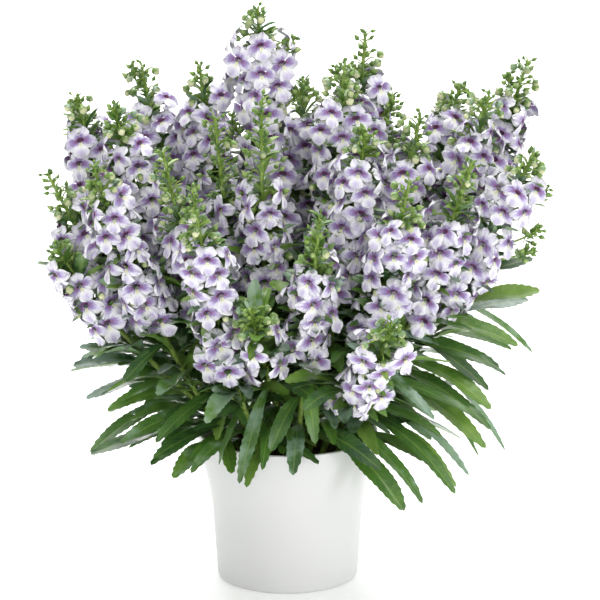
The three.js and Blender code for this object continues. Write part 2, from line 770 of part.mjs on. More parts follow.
function makeSoil(material) {
  const wallAt = (z) => (potRadius(z) - POT_WALL) * Math.cos(Math.PI / POT_SIDES) - SEAT;
  const profile = [
    [0, POT_FLOOR + SEAT],
    ...[POT_FLOOR + SEAT, POT_FLARE_START, 66, 82, SOIL_EDGE].map((z) => [wallAt(z), z]),
    ...SOIL_RINGS.toReversed().map((share) => [wallAt(SOIL_EDGE) * share, SOIL_EDGE]),
    [0, SOIL_EDGE],
  ];
  const geometry = turned(profile);
  const place = geometry.getAttribute('position');
  const rim = wallAt(SOIL_EDGE) - SEAT;
  for (let i = 0; i < place.count; i += 1) {
    const x = place.getX(i);
    const y = place.getY(i);
    if (Math.abs(place.getZ(i) - SOIL_EDGE) < 0.01 && Math.hypot(x, y) < rim) place.setZ(i, soilHeight(x, y));
  }
  let solid = solidOf(geometry);
  for (const stem of stems.filter((item) => item.parent < 0)) {
    const at = centre(stem, FOOT_HEIGHT);
    const depth = FOOT_DEPTH + SEAT + 12;
    const hole = new THREE.CylinderGeometry(STEM_RADIUS + SEAT * 1.6, STEM_RADIUS + SEAT * 1.6, depth, 4);
    hole.rotateX(Math.PI / 2).rotateZ(radians(stem.phase));
    hole.translate(at.x, at.y, FOOT_HEIGHT - FOOT_DEPTH - SEAT + depth / 2);
    solid = solid.subtract(solidOf(hole));
  }
  return meshOf(solid, 'soil', material);
}

function finish(colour, roughness) {
  return new THREE.MeshStandardMaterial({ color: colour, roughness, metalness: 0, side: THREE.FrontSide });
}

const angelonia = new THREE.Group();
angelonia.add(makePot(finish(COLOURS.pot, 0.35)), makeSoil(finish(COLOURS.soil, 0.95)));
const leafGreen = finish(COLOURS.leafy_stem, 0.5);
const petalLilac = finish(COLOURS.raceme, 0.6);
const numbered = (name, number) => `${name}_${String(number).padStart(2, '0')}`;
stems.filter((stem) => stem.parent < 0).forEach((stem, i) => {
  const growth = new Growth();
  growStem(growth, stem, null);
  angelonia.add(growth.mesh(numbered('leafy_stem', i + 1), leafGreen));
});
stems.forEach((stem, i) => {
  const growth = new Growth();
  growRaceme(growth, stem);
  angelonia.add(growth.mesh(numbered('raceme', i + 1), petalLilac));
});

export default angelonia;
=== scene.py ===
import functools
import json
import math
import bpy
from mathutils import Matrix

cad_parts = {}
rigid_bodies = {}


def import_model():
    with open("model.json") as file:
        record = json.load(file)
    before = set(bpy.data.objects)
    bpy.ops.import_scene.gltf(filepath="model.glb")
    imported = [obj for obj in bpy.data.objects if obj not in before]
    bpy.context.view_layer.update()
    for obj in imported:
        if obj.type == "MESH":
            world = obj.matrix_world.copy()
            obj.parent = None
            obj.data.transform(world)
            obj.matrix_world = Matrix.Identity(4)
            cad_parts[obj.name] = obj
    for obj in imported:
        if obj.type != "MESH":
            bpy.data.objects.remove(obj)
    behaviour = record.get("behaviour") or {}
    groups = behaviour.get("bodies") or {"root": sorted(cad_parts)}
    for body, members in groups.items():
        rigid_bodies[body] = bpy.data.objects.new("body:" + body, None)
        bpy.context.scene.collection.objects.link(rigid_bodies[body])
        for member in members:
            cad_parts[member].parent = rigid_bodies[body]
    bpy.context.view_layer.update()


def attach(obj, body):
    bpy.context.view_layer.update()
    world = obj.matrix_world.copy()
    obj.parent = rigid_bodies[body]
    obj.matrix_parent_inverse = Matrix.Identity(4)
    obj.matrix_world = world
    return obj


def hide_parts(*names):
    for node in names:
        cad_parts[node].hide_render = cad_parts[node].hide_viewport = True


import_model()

# A potted angelonia in flower: a plain white pot of soil, leafy stems, and racemes of two-lipped flowers.
# Lengths are in millimetres until a piece's mesh is made, +Z is up, the origin is the centre of the pot's
# base, and -Y is the plant's front.
from types import SimpleNamespace

import bpy
import numpy as np
from mathutils import Vector

MM = 0.001
UP = np.array([0.0, 0.0, 1.0])

# The pot: a slight taper below, a trumpet mouth above, a thin wall and rounded edges. The rows and sides
# are those of its mesh.
POT_HEIGHT = 109
POT_BASE_RADIUS = 50.6
POT_TAPER = 0.07
POT_FLARE = 6.8
POT_FLARE_START = 50
POT_WALL = 2.4
POT_FLOOR = 3
POT_EDGE = 2.5
POT_CORNER = 3
BASE_RING = 6
CORNER_POINTS = 6
POT_SIDES = 160
OUTER_ROWS = 28
INNER_ROWS = 20

# The soil fills the pot to a little under its rim, mounded towards the middle, with broad lumps, a fine
# grain and loose crumbs. It stands clear of the wall and the floor.
SOIL_EDGE = 91
SOIL_MOUND = 3
SOIL_LUMP = 1.1
SOIL_GRAIN = 0.45
SOIL_GAP = 0.4
SOIL_FOOT = POT_FLOOR + 0.5
SOIL_SIDES = 120
SOIL_RINGS = 44
SOIL_CRUMBS = 900

# Stems leave the soil close together, fan out, and straighten as they rise. They stand in it by a depth,
# fork at a height, and thin towards their tips.
FOOT_HEIGHT = 94
FOOT_SHARE = 0.27
FOOT_DEPTH = 22
FORK_HEIGHT = 132
STEM_RADIUS = 2.2
NECK_RADIUS = 1.7
AXIS_RADIUS = 1.6
STEM_TIP_RADIUS = 0.75
STEM_BEND = 8
SPREAD = 1.35

# A stem's mesh: the spacing of its stations, its sides, and how far below the height where a fork is
# clear of its stem its first free station lies.
STEM_STATION = 7
STEM_SIDES = 8
FORK_OVERLAP = 8

# One row for each raceme: its tip's x, y and z, its length, the row of the stem that its own stem
# forks from, or -1 where it stands in the soil, and the length of its green head of buds.
RACEMES = [
    (-21, 28, 417, 172, -1, 22),
    (56, 42, 396, 146, -1, 34),
    (-106, 70, 365, 138, -1, 28),
    (-63, 50, 369, 134, -1, 24),
    (-153, 35, 350, 140, -1, 20),
    (-124, -12, 355, 146, -1, 24),
    (-172, -10, 306, 108, 5, 32),
    (-137, -60, 324, 122, -1, 28),
    (-88, -50, 332, 128, -1, 56),
    (-52, -14, 348, 132, -1, 62),
    (-18, -45, 368, 144, -1, 70),
    (-66, -100, 317, 150, -1, 40),
    (41, 0, 384, 142, -1, 30),
    (56, -42, 345, 130, -1, 20),
    (77, 85, 340, 124, -1, 36),
    (125, 75, 349, 134, -1, 20),
    (145, 22, 355, 140, -1, 22),
    (174, 62, 371, 138, 16, 32),
    (176, -15, 322, 118, 19, 24),
    (131, -38, 321, 122, -1, 38),
    (86, -80, 318, 124, -1, 34),
    (23, -95, 297, 112, -1, 40),
    (74, -122, 226, 84, 20, 20),
    (95, 2, 345, 128, -1, 30),
    (12, 62, 356, 128, -1, 26),
    (30, 100, 330, 120, -1, 28),
    (-65, 105, 330, 120, -1, 26),
    (5, 142, 300, 108, 24, 24),
    (-105, 120, 305, 108, 26, 26),
    (62, 135, 300, 108, 25, 24),
    (115, 125, 305, 110, 14, 26),
    (-155, 85, 312, 112, 2, 26),
    (-27, -105, 232, 62, 10, 18),
    (-166, -34, 258, 66, 7, 14),
]

# A flower's five lobes and the notches between them, by direction in degrees from the flower's right,
# reach, and how far they stand forward.
LOBES = np.array([
    (60, 11.2, 0),
    (90, 7.4, -0.6),
    (120, 11.2, 0),
    (155, 5.6, -0.8),
    (200, 13, 0),
    (238, 6, -0.8),
    (270, 14.4, 0.6),
    (302, 6, -0.8),
    (340, 13, 0),
    (25, 5.6, -0.8),
])

# How deep the throat lies, how far a flower's face stands from the axis, and the turns and shares of that
# reach that it tries until it has room.
THROAT_DEPTH = 2.2
FLOWER_REACH = 15.5
FLOWER_TURNS = [0, 12, -12, 24, -24]
FLOWER_REACHES = [1, 0.88, 1.14]

# Flowers leave the axis in threes, and climb to an even winding.
WHORL_SPACING = 25
WHORL_TURN = 52
WHORL_RISE = -4

# The green head of buds at a raceme's end, as the solids have it.
HEAD_SPACING = 20
BUD_RADIUS = 2.7
BUD_REACH = 5.2
BUD_RISE = 1.5
BUD_LENGTH = 1.5
FULL_HEAD = 26

# Leaves: opposite pairs up each stem, longest at the bottom, and the turns in degrees and lifts that each
# tries until it has room.
LEAF_START = 114
LEAF_SPACING = 32
LEAFY_HEIGHT = 130
JOINT_GAP = 8
LEAF_LENGTH = 76
LEAF_WIDTH = 13
LEAF_FOLD = 0.22
LEAF_SWINGS = [
    (0, 0),
    (10, 5),
    (-10, 5),
    (18, -6),
    (-18, -6),
    (0, 14),
    (26, 8),
    (-26, 8),
    (36, -4),
    (-36, -4),
]

# Large leaves that stand out of the plant: the row of their stem, their height on it, their tip's x, y
# and z, their width, how high they arch, and their roll in degrees.
LARGE_LEAVES = [
    (7, 120, -141, -45, 104, 15, 10, -25),
    (6, 150, -144, -20, 129, 13, 12, -30),
    (7, 148, -137, -50, 150, 15, 10, -20),
    (4, 146, -156, 0, 143, 10, 14, -15),
    (6, 172, -149, 5, 161, 12, 8, -35),
    (4, 178, -143, 30, 175, 11, 6, -20),
    (8, 117, -105, -70, 108, 12, 14, -25),
    (11, 118, -76, -78, 98, 12, 18, -10),
    (11, 138, -56, -88, 106, 9, 12, 60),
    (32, 158, -46, -80, 102, 11, 10, 0),
    (32, 148, -30, -88, 87, 14, 26, 0),
    (10, 122, -18, -82, 90, 10, 24, -40),
    (21, 150, -16, -72, 111, 13, 10, -20),
    (21, 126, 4, -82, 100, 12, 14, 0),
    (21, 168, 20, -84, 124, 10, 6, 30),
    (21, 115, 68, -58, 95, 15, 16, 10),
    (20, 117, 90, -72, 67, 15, 30, 10),
    (19, 117, 116, -50, 72, 13, 30, 25),
    (19, 140, 128, -30, 75, 11, 30, 30),
    (18, 158, 138, -12, 92, 9, 22, 20),
    (18, 172, 157, -14, 97, 11, 20, 20),
    (19, 160, 150, -40, 120, 13, 18, 25),
    (16, 150, 160, 4, 124, 12, 22, 20),
    (19, 184, 144, -32, 148, 16, 14, 25),
    (20, 158, 132, -62, 138, 12, 18, 20),
    (16, 176, 158, 8, 147, 11, 14, 20),
    (17, 178, 166, 30, 151, 11, 10, 30),
    (17, 204, 178, 36, 156, 11, 16, 25),
    (18, 196, 182, 0, 206, 13, 4, 35),
    (20, 138, 105, -68, 116, 13, 16, 15),
    (20, 178, 104, -84, 142, 10, 8, 20),
    (7, 186, -116, -56, 162, 12, 4, -30),
    (8, 146, -108, -62, 130, 12, 14, -20),
    (5, 116, -114, -30, 104, 9, 14, -20),
]

# More broad leaves, laid out the same way. Each strays further with each try, until the part of its blade
# beyond a share of its length has room.
BROAD_LEAVES = [
    (20, 113, 87, -84, 73, 18, 14, 25),
    (18, 205, 181, -6, 215, 14, 4, 45),
    (18, 226, 176, 0, 237, 11, 2, 35),
    (19, 196, 165, -24, 179, 14, 14, 40),
    (16, 190, 146, 0, 179, 15, 12, 40),
    (19, 176, 149, -36, 161, 15, 16, 35),
    (19, 166, 147, -44, 137, 15, 20, 35),
    (19, 146, 142, -46, 109, 15, 24, 35),
    (19, 134, 130, -52, 90, 9, 26, 20),
    (19, 121, 120, -60, 79, 13, 28, 25),
    (21, 121, 66, -90, 107, 15, 14, 35),
    (10, 116, -29, -88, 93, 12, 24, 0),
    (21, 113, 1, -86, 107, 11, 16, -20),
    (10, 124, -44, -84, 103, 12, 20, 0),
    (8, 113, -72, -74, 102, 10, 18, -15),
    (7, 172, -144, -30, 176, 12, 4, -30),
    (8, 134, -119, -60, 117, 14, 16, -35),
    (4, 130, -142, -24, 99, 12, 20, -35),
]
BROAD_START = 0.45
BROAD_TRIES = 30

# Room kept round the points that stand for a blade, a petal and a stem, their spacing on a blade, the
# size of the cells that sort them, and the seed of all draws.
BLADE_ROOM = 2.4
PETAL_ROOM = 1.9
STEM_ROOM = 3
POINT_SPACING = 3.4
CELL = 6
SEED = 4171

# The finer plant: flowers that fill in between the whorls. They come at steps up a raceme, each in the
# freest of some directions, with a little favour for the front, and each looks aside by up to an angle.
# Their centres keep a gap, which shrinks high up, where no neighbour helps to fill the space. Two racemes
# open wider than the rest, by the factor given for their row, and one stays as sparse as its whorls.
FILL_SPACING = 5
FILL_TOP = 2
FILL_DIRECTIONS = 24
FILL_FRONT = 1.2
FILL_TURN = 46
FILL_GAP = 14.8
FREE_GAP = 12.6
FREE_HEIGHTS = (300, 360)
WIDE_ROWS = {0: 1.25, 1: 1.2}
SPARSE_ROW = 32

# Leaves that fill in between the pairs: steps up the stem from a little below the first pair into the
# raceme's foot, tries at each step, and their length and slope in degrees low and high on the stem.
FILL_LEAF_SPACING = 3.6
FILL_LEAF_LOW = 9
FILL_LEAF_TOP = 40
FILL_LEAF_TRIES = 12
FILL_LEAF_LENGTHS = (74, 34)
FILL_LEAF_SLOPES = (-14, 58)
FILL_LEAF_ROLL = 40

# The room round what fills in, and the small boxes of space that tell what is free.
FILL_ROOM = 1.3
BOX_SIZE = 1.5
BOX_LOW = np.array([-225, -175, 45])
BOX_COUNTS = (300, 240, 260)

# A raceme's axis, fuller here than the solid one, a flower's stalk, and the radius and length of the
# calyx that holds it.
AXIS_FULLNESS = 1.35
AXIS_SIDES = 7
AXIS_STATIONS = 24
STALK_RADIUS = 0.55
STALK_SIDES = 4
CALYX_SIZE = np.array([2.7, 5.4])
SEPALS = 5

# A bract: its stations, each a share of its length and of its half width, and how broad it is against
# its length. One stands under each flower, and a pair at each step up the axis. They shorten to a share
# of their length near the head, and those on the axis turn a lighter green above a height.
BRACT_STATIONS = np.array([(0, 0.25), (0.3, 0.8), (0.62, 1), (0.86, 0.6)])
BRACT_BREADTH = 0.3
BRACT_LENGTHS = (17, 30)
BRACT_SHORTEST = 0.7
AXIS_LEAF_SPACING = 4.2
AXIS_LEAF_LENGTHS = (18, 30)
AXIS_LEAF_SHORTEST = 0.6
LIGHTER_FROM = 250
LIGHTER_RANGE = 90

# The head of buds: how far it reaches down among the flowers, how many buds it has near its tip and how
# far apart the rest rise, and the turn from each to the next. Then how far a bud stands out, how far it
# rises and its radius, and how long its leaf is, each at the head's foot and at its tip.
BUD_OVERLAP = 5
BUDS_NEAR_TIP = 8
BUD_RISING = 2.8
BUD_TURN = 137.5
HEAD_REACHES = (10.5, 4.2)
HEAD_RISES = (6, 4)
HEAD_BUDS = (2.2, 1.35)
HEAD_LEAVES = (13, 6)
HEAD_LEAF_BREADTH = 0.36
BUD_STALK_RADIUS = 0.42

# A head is fuller beyond a length. Ripe buds nod from it, and more come late among the flowers, clear of
# their faces.
FULLER_HEAD = 42
NODDING_BUDS = 6
LATE_BUDS = 12
LATE_BUD_GAP = 7
RIPE_STALK_RADIUS = 0.5

# Short leafy side shoots: the row of their stem, their height on it, and their tip. Each thins towards
# its tip, and its head is a share of its end's length and slimmer than a raceme's.
SHOOT_RADII = (1.1, 0.5)
SHOOT_STATIONS = 9
SHOOT_SIDES = 6
SHOOT_HEAD = 0.7
SHOOT_FULLNESS = 0.6
SHOOTS = [
    (18, 274, 186, -6, 291),
    (18, 247, 181, -14, 264),
    (18, 238, 176, -22, 251),
    (6, 210, -166, -16, 232),
    (2, 352, -113, 66, 364),
    (1, 318, 77, 36, 346),
    (1, 305, 73, 30, 333),
    (1, 344, 34, 46, 367),
    (0, 330, 12, 24, 359),
    (0, 292, -40, 22, 338),
    (3, 290, -40, 34, 322),
    (12, 296, 22, -2, 344),
    (15, 300, 112, 74, 340),
    (17, 322, 160, 60, 360),
    (0, 362, 5, 26, 394),
]

# The throat's rim, and the pouch behind it, by its radius and depth from the rim to the stalk.
THROAT_WIDTH = 3.0
THROAT_HEIGHT = 2.1
POUCH_SIDES = 10
POUCH = np.array([(1, 0), (1.15, 1.8), (0.8, 4.4), (0.05, 6)])

# The five lobes: direction, the half angle of the throat's rim that a lobe leaves, length, half width,
# where it is widest, how wide its neck is against that, and how far it comes forward and then curls back.
PETALS = {
    "upper": [(64, 30, 9.0, 5.4, 0.62, 0.78, 0.6, 3.6), (116, 30, 9.0, 5.4, 0.62, 0.78, 0.6, 3.6)],
    "lateral": [(337, 48, 10.6, 5.7, 0.58, 0.92, 3.0, 6.2), (203, 48, 10.6, 5.7, 0.58, 0.92, 3.0, 6.2)],
    "lower": [(270, 34, 12.0, 6.3, 0.7, 0.56, 5.0, 4.6)],
}
PETAL_ROWS = 6
PETAL_COLUMNS = 9

# How lobes differ from flower to flower: in length and width, in their direction in degrees and their
# curl, in the height of their ruffles, and in how far their sides bend back.
LOBE_LENGTHS = (0.94, 1.06)
LOBE_WIDTHS = (0.94, 1.05)
LOBE_TURN = 3
LOBE_CURL = 1.3
RUFFLES = (0.8, 2.0)
CUPS = (0.27, 1.17)

# The fine teeth of a leaf's outer edge, how far they lean towards its tip, the share of its length that
# is plain and the stations along that.
TOOTH_SPACING = 4.8
TOOTH_DEPTH = 0.7
TOOTH_LEAN = 1.3
TOOTHED_FROM = 0.4
PLAIN_STATIONS = 5

# A blade's cross-section: five points over its upper side and one for the keel below its midrib, how
# thick a full leaf is there, how far its midrib is sunk, and how far its sides wave.
SIDE_SHARES = np.array([1, 0.5, 0, -0.5, -1, 0])
UNDERSIDE = np.array([0, 0, 0, 0, 0, 1])
LEAF_THICKNESS = 0.9
MIDRIB_DEPTH = 0.25
LEAF_WAVE = 0.16

# The least half width of a blade at its root and at its tip, as a share of its full width.
LEAF_ENDS = (0.09, 0.01)

# A bud's sides, and its radius and height from foot to tip: round when ripe, and pointed while its sepals
# still close over it.
BUD_SIDES = 7
RIPE_BUD = np.array([(0.45, -0.9), (0.95, -0.35), (0.96, 0.35), (0.55, 0.98)])
RIPE_TIP = 1.25
YOUNG_BUD = np.array([(0.5, -0.85), (1, -0.2), (0.82, 0.55), (0.36, 1.3)])
YOUNG_TIP = 2.0

# The green finishes of a piece, by their order among its materials.
LEAF = 0
STEM = 1
BUD = 2

# The camera: a long lens that looks down on the plant's front. Places and sizes are in metres.
CAMERA_AIM = (0.009, 0, 0.206)
CAMERA_ANGLE = 16
CAMERA_DISTANCE = 4.0
CAMERA_LENS = 334.4
CAMERA_SENSOR = 36

# Soft studio light: each lamp's name, place, aim, size, power in watts and spread in degrees. The card
# stands for a small reflector low beside the pot.
LAMPS = [
    ("key", (2.0, -1.2, 1.1), (0, 0, 0.2), 1.2, 6, 180),
    ("back", (-0.3, 2.2, 0.9), (0, 0, 0.2), 1.2, 20, 180),
    ("fill", (-1.0, -2.2, 0.9), (0, 0, 0.2), 1.4, 6, 180),
    ("front", (0.8, -2.6, 1.8), (0, 0, 0.3), 1.6, 15, 180),
    ("overhead", (0, 1.1, 2.6), (0, 1.0, 0), 3.2, 110, 180),
    ("card", (1.0, -0.6, 0.07), (0, 0, 0.05), 0.3, 0.13, 30),
]
WORLD_LIGHT = 0.6
FLOOR_SIZE = 24
FLOOR_GLOW = 0.18


def unit(v):
    return v / np.linalg.norm(v, axis=-1, keepdims=True)


def mix(low, high, share):
    return low + (high - low) * share


def smooth(x):
    x = np.clip(x, 0, 1)
    return x * x * (3 - 2 * x)


def seeded(seed):
    """Draws from 0 up to 1, the same ones on every run."""
    state = seed
    while True:
        state = (state * 1664525 + 1013904223) % 4294967296
        yield state / 4294967296


# The draws that lay the plant out as the solids have it, and those for what is added to it here.
draws = seeded(SEED)
draw = functools.partial(next, draws)
fine = np.random.default_rng(SEED)


def pot_radius(z):
    share = (z - POT_FLARE_START) / (POT_HEIGHT - POT_FLARE_START)
    return POT_BASE_RADIUS + POT_TAPER * z + POT_FLARE * smooth(share)


# The room that is taken, as points with a radius, sorted into cells.
cells = {}


def take(points, room):
    for x, y, z in points.tolist():
        key = (math.floor(x / CELL), math.floor(y / CELL), math.floor(z / CELL))
        cells.setdefault(key, []).append((x, y, z, room))


def in_pot(points, room):
    radius = np.hypot(points[:, 0], points[:, 1])
    z = points[:, 2]
    wall = pot_radius(z)
    inside = (z > FOOT_HEIGHT + room) & (radius < wall - POT_WALL - room)
    return not np.all((radius > wall + room) | (z > POT_HEIGHT + room) | inside)


def is_clear(points, room):
    if in_pot(points, room):
        return False
    for x, y, z in points.tolist():
        a, b, c = math.floor(x / CELL), math.floor(y / CELL), math.floor(z / CELL)
        for i in (a - 1, a, a + 1):
            for j in (b - 1, b, b + 1):
                for k in (c - 1, c, c + 1):
                    for u, v, w, other in cells.get((i, j, k), ()):
                        if (x - u) ** 2 + (y - v) ** 2 + (z - w) ** 2 < (room + other) ** 2:
                            return False
    return True


class Space:
    """The small boxes of space round the plant, and which of them are filled."""

    def __init__(self):
        self.filled = np.zeros(BOX_COUNTS, bool)

    def boxes(self, points):
        places = np.floor((points - BOX_LOW) / BOX_SIZE).astype(int)
        return np.clip(places, 0, np.array(BOX_COUNTS) - 1)

    def fill(self, points, room):
        steps = np.arange(-math.ceil(room / BOX_SIZE), math.ceil(room / BOX_SIZE) + 1)
        ball = np.stack(np.meshgrid(steps, steps, steps), axis=-1).reshape(-1, 3)
        ball = ball[np.linalg.norm(ball, axis=1) * BOX_SIZE <= room]
        places = self.boxes((points[:, None] + ball * BOX_SIZE).reshape(-1, 3))
        self.filled[tuple(places.T)] = True

    def is_free(self, points):
        return not in_pot(points, 1) and not self.filled[tuple(self.boxes(points).T)].any()


class Stem:
    """A stem and the raceme on it: where it runs, how thick it is, and what stands on it."""

    def __init__(self, x, y, z, length, parent, head):
        self.tip = np.array([x, y, z], float)
        self.length = length
        self.parent = parent
        self.head = head
        self.open = length - head
        self.phase = draw() * 90
        self.bend = (draw() - 0.5) * STEM_BEND
        self.foot = z - length
        self.whorls = math.floor(self.open / WHORL_SPACING + 0.5)
        self.head_whorls = max(math.floor(head / HEAD_SPACING + 0.5), 2)
        self.flowers = []
        self.fillers = []
        self.leaves = []

    @functools.cached_property
    def start(self):
        if self.parent >= 0:
            return stems[self.parent].centre(FORK_HEIGHT)
        return np.array([self.tip[0] * FOOT_SHARE, self.tip[1] * FOOT_SHARE, FOOT_HEIGHT])

    def centre(self, z):
        """The centre line at a height: it spreads quickly at first, and bends a little to one side."""
        z = np.asarray(z, float)
        share = np.maximum((z - self.start[2]) / (self.tip[2] - self.start[2]), 0)
        spread = SPREAD * share - (SPREAD - 1) * share * share
        sideways = self.bend * np.sin(math.pi * share)
        dx, dy = self.tip[:2] - self.start[:2]
        run = math.hypot(dx, dy)
        x = self.start[0] + dx * spread - dy / run * sideways
        y = self.start[1] + dy * spread + dx / run * sideways
        return np.stack([x, y, z], axis=-1)

    def frame(self, z):
        """The place on the centre line, and the directions along, across and beside it."""
        along = unit(self.centre(z + 1) - self.centre(z - 1))
        phase = math.radians(self.phase)
        across = np.array([math.cos(phase), math.sin(phase), 0])
        across = unit(across - along * (across @ along))
        return self.centre(z), along, across, np.cross(along, across)

    def radius(self, z):
        share = min(max((z - FOOT_HEIGHT) / (self.foot - FOOT_HEIGHT), 0), 1)
        return mix(STEM_RADIUS, NECK_RADIUS, share)

    def axis_radius(self, z):
        return mix(AXIS_RADIUS, STEM_TIP_RADIUS, (z - self.foot) / self.length)

    def whorl_height(self, whorl):
        return self.foot + (whorl + 0.3) * self.open / self.whorls

    def head_height(self, whorl):
        return self.tip[2] - self.head * (1 - (whorl + 0.2) / (self.head_whorls + 0.5))


def out_of(here, angle):
    """The direction out of a stem, turned by an angle in degrees about it."""
    _, _, across, beside = here
    return across * math.cos(math.radians(angle)) + beside * math.sin(math.radians(angle))


def flower_at(stem, z, angle, rise, reach, size, lift, roll):
    """A flower that leaves a raceme's axis at an angle, and looks outwards and a little up."""
    here = stem.frame(z)
    at, along = here[:2]
    away = out_of(here, angle)
    out = away * math.cos(math.radians(lift)) + along * math.sin(math.radians(lift))
    upright = unit(along - out * (along @ out))
    level = np.cross(upright, out)
    right = level * math.cos(math.radians(roll)) + upright * math.sin(math.radians(roll))
    return SimpleNamespace(
        root=at + away * stem.axis_radius(z) / 2,
        face=at + away * FLOWER_REACH * reach * size + along * rise,
        out=out, right=right, up=np.cross(out, right), size=size, away=away, along=along,
    )


def on_flower(flower, angle, reach, forward):
    """Places on a flower's face, by direction, reach, and how far they stand forward."""
    angle = np.radians(angle)[..., None]
    reach = np.asarray(reach)[..., None] * flower.size
    forward = np.asarray(forward)[..., None] * flower.size
    across = flower.right * np.cos(angle) + flower.up * np.sin(angle)
    return flower.face + across * reach + flower.out * forward


def flower_room(flower):
    """The points that stand for a flower: its throat, its lobes' corners, and some on the way to them."""
    middle = on_flower(flower, 0, 0, -THROAT_DEPTH)
    corners = on_flower(flower, *LOBES.T)
    spots = [middle[None], mix(flower.root, middle, 0.7)[None]]
    spots += [mix(middle, corners, share) for share in (0.5, 0.75, 1)]
    spots += [mix(flower.root, corners, share) for share in (0.45, 0.72)]
    return np.vstack(spots)


def place_flowers(stem):
    """Open flowers stand round the raceme in threes, and each turns aside until it has room."""
    count = stem.whorls * 3
    for i in range(count):
        share = i / count
        z = stem.whorl_height(i // 3)
        angle = (i // 3) * WHORL_TURN + 60 + (i % 3) * 120 + (draw() - 0.5) * 16
        rise = WHORL_RISE + (i % 3) * stem.open / count
        size = mix(0.9, 1.04, draw()) - 0.12 * share
        lift = mix(0, 16, draw()) + 16 * share
        roll = mix(-14, 14, draw())
        for reach, turn in ((r, t) for r in FLOWER_REACHES for t in FLOWER_TURNS):
            flower = flower_at(stem, z, angle + turn, rise, reach, size, lift, roll)
            room = flower_room(flower)
            if is_clear(room, PETAL_ROOM):
                take(room, PETAL_ROOM)
                flower.share = share
                stem.flowers.append(flower)
                break


def take_buds(stem):
    """Keeps the room of the head's buds, three to each whorl, which draw in towards the tip."""
    for i in range(stem.head_whorls * 3):
        whorl = i // 3
        share = i / (stem.head_whorls * 3)
        here = stem.frame(stem.head_height(whorl))
        away = out_of(here, (stem.whorls + whorl) * WHORL_TURN + 60 + (i % 3) * 120)
        size = BUD_RADIUS * min(stem.head / FULL_HEAD, 1) * (1 - 0.4 * share)
        middle = here[0] + away * BUD_REACH * (1 - 0.4 * share) + here[1] * BUD_RISE * (1 + i % 3)
        tip = middle + (away * 0.75 + here[1] * 0.66) * size * BUD_LENGTH
        take(middle[None], size)
        take(tip[None], PETAL_ROOM)


def leaf_point(leaf, t):
    """A leaf's centre line arches from its root to its tip."""
    t = np.asarray(t, float)[..., None]
    bent = mix(leaf.root, leaf.tip, 0.42) + UP * leaf.arch
    return mix(mix(leaf.root, bent, t), mix(bent, leaf.tip, t), t)


def leaf_frame(leaf, t):
    """The place on a leaf's centre line, the direction across its blade and the one out of it."""
    along = unit(leaf_point(leaf, t + 0.01) - leaf_point(leaf, t - 0.01))
    heading = unit((leaf.tip - leaf.root) * (1, 1, 0))
    level = np.cross(UP, heading)
    face = np.cross(along, level)
    roll = (math.radians(leaf.roll) * np.asarray(t))[..., None]
    side = level * np.cos(roll) + face * np.sin(roll)
    return leaf_point(leaf, t), side, np.cross(along, side)


def outline(t):
    """A blade is widest beyond its middle, and comes to a short point."""
    return t * (1 - t) ** 0.7 / ((1 / 1.7) * (0.7 / 1.7) ** 0.7)


def leaf_room(leaf, start=0.0):
    """The points that stand for a blade, from a share of its length outwards."""
    steps = math.ceil(np.linalg.norm(leaf.root - leaf.tip) / POINT_SPACING)
    t = np.arange(max(2, math.ceil(start * steps)), steps + 1) / steps
    at, side, face = leaf_frame(leaf, t)
    half = (0.5 * leaf.width * outline(t))[:, None]
    return np.vstack([
        at + side * share * half + face * abs(share) * half * LEAF_FOLD for share in (-1, -0.35, 0.35, 1)
    ])


def side_towards(stem, z, direction):
    """The side of a four-cornered stem that looks most nearly in a direction."""
    _, _, across, beside = stem.frame(z)
    angle = math.atan2(direction @ beside, direction @ across)
    return (math.floor(angle * 2 / math.pi) + 8) % 4


def leaf_from(stem, z, tip, width, arch, roll):
    at = stem.centre(z)
    away = unit((tip - at) * (1, 1, 0))
    return SimpleNamespace(
        z=z, root=at + away * stem.radius(z), tip=tip, width=width, arch=arch, roll=roll,
        side=side_towards(stem, z, tip - at),
    )


def place_leaf(stem, z, tip, width, arch, roll):
    """A leaf swings aside, or lifts, until it has room, and otherwise is left out."""
    at = stem.centre(z)
    for turn, lift in LEAF_SWINGS:
        dx, dy, dz = tip - at
        turned = complex(dx, dy) * complex(math.cos(math.radians(turn)), math.sin(math.radians(turn)))
        leaf = leaf_from(stem, z, at + (turned.real, turned.imag, dz + lift), width, arch, roll)
        used = any(other.z == z and other.side == leaf.side for other in stem.leaves)
        room = None if used else leaf_room(leaf)
        if not used and is_clear(room, BLADE_ROOM):
            take(room, BLADE_ROOM)
            stem.leaves.append(leaf)
            return


def fork_start(stem):
    """The height at which a forked stem is clear of the one that it leaves."""
    z = FORK_HEIGHT + 4
    while np.linalg.norm(stem.centre(z) - stems[stem.parent].centre(z)) < 3 * STEM_RADIUS:
        z += 1
    return z


def leaf_reach(heading, slope, length):
    """The way from a leaf's root to its tip, by angles in radians."""
    level = length * math.cos(slope)
    return np.array([math.cos(heading) * level, math.sin(heading) * level, math.sin(slope) * length])


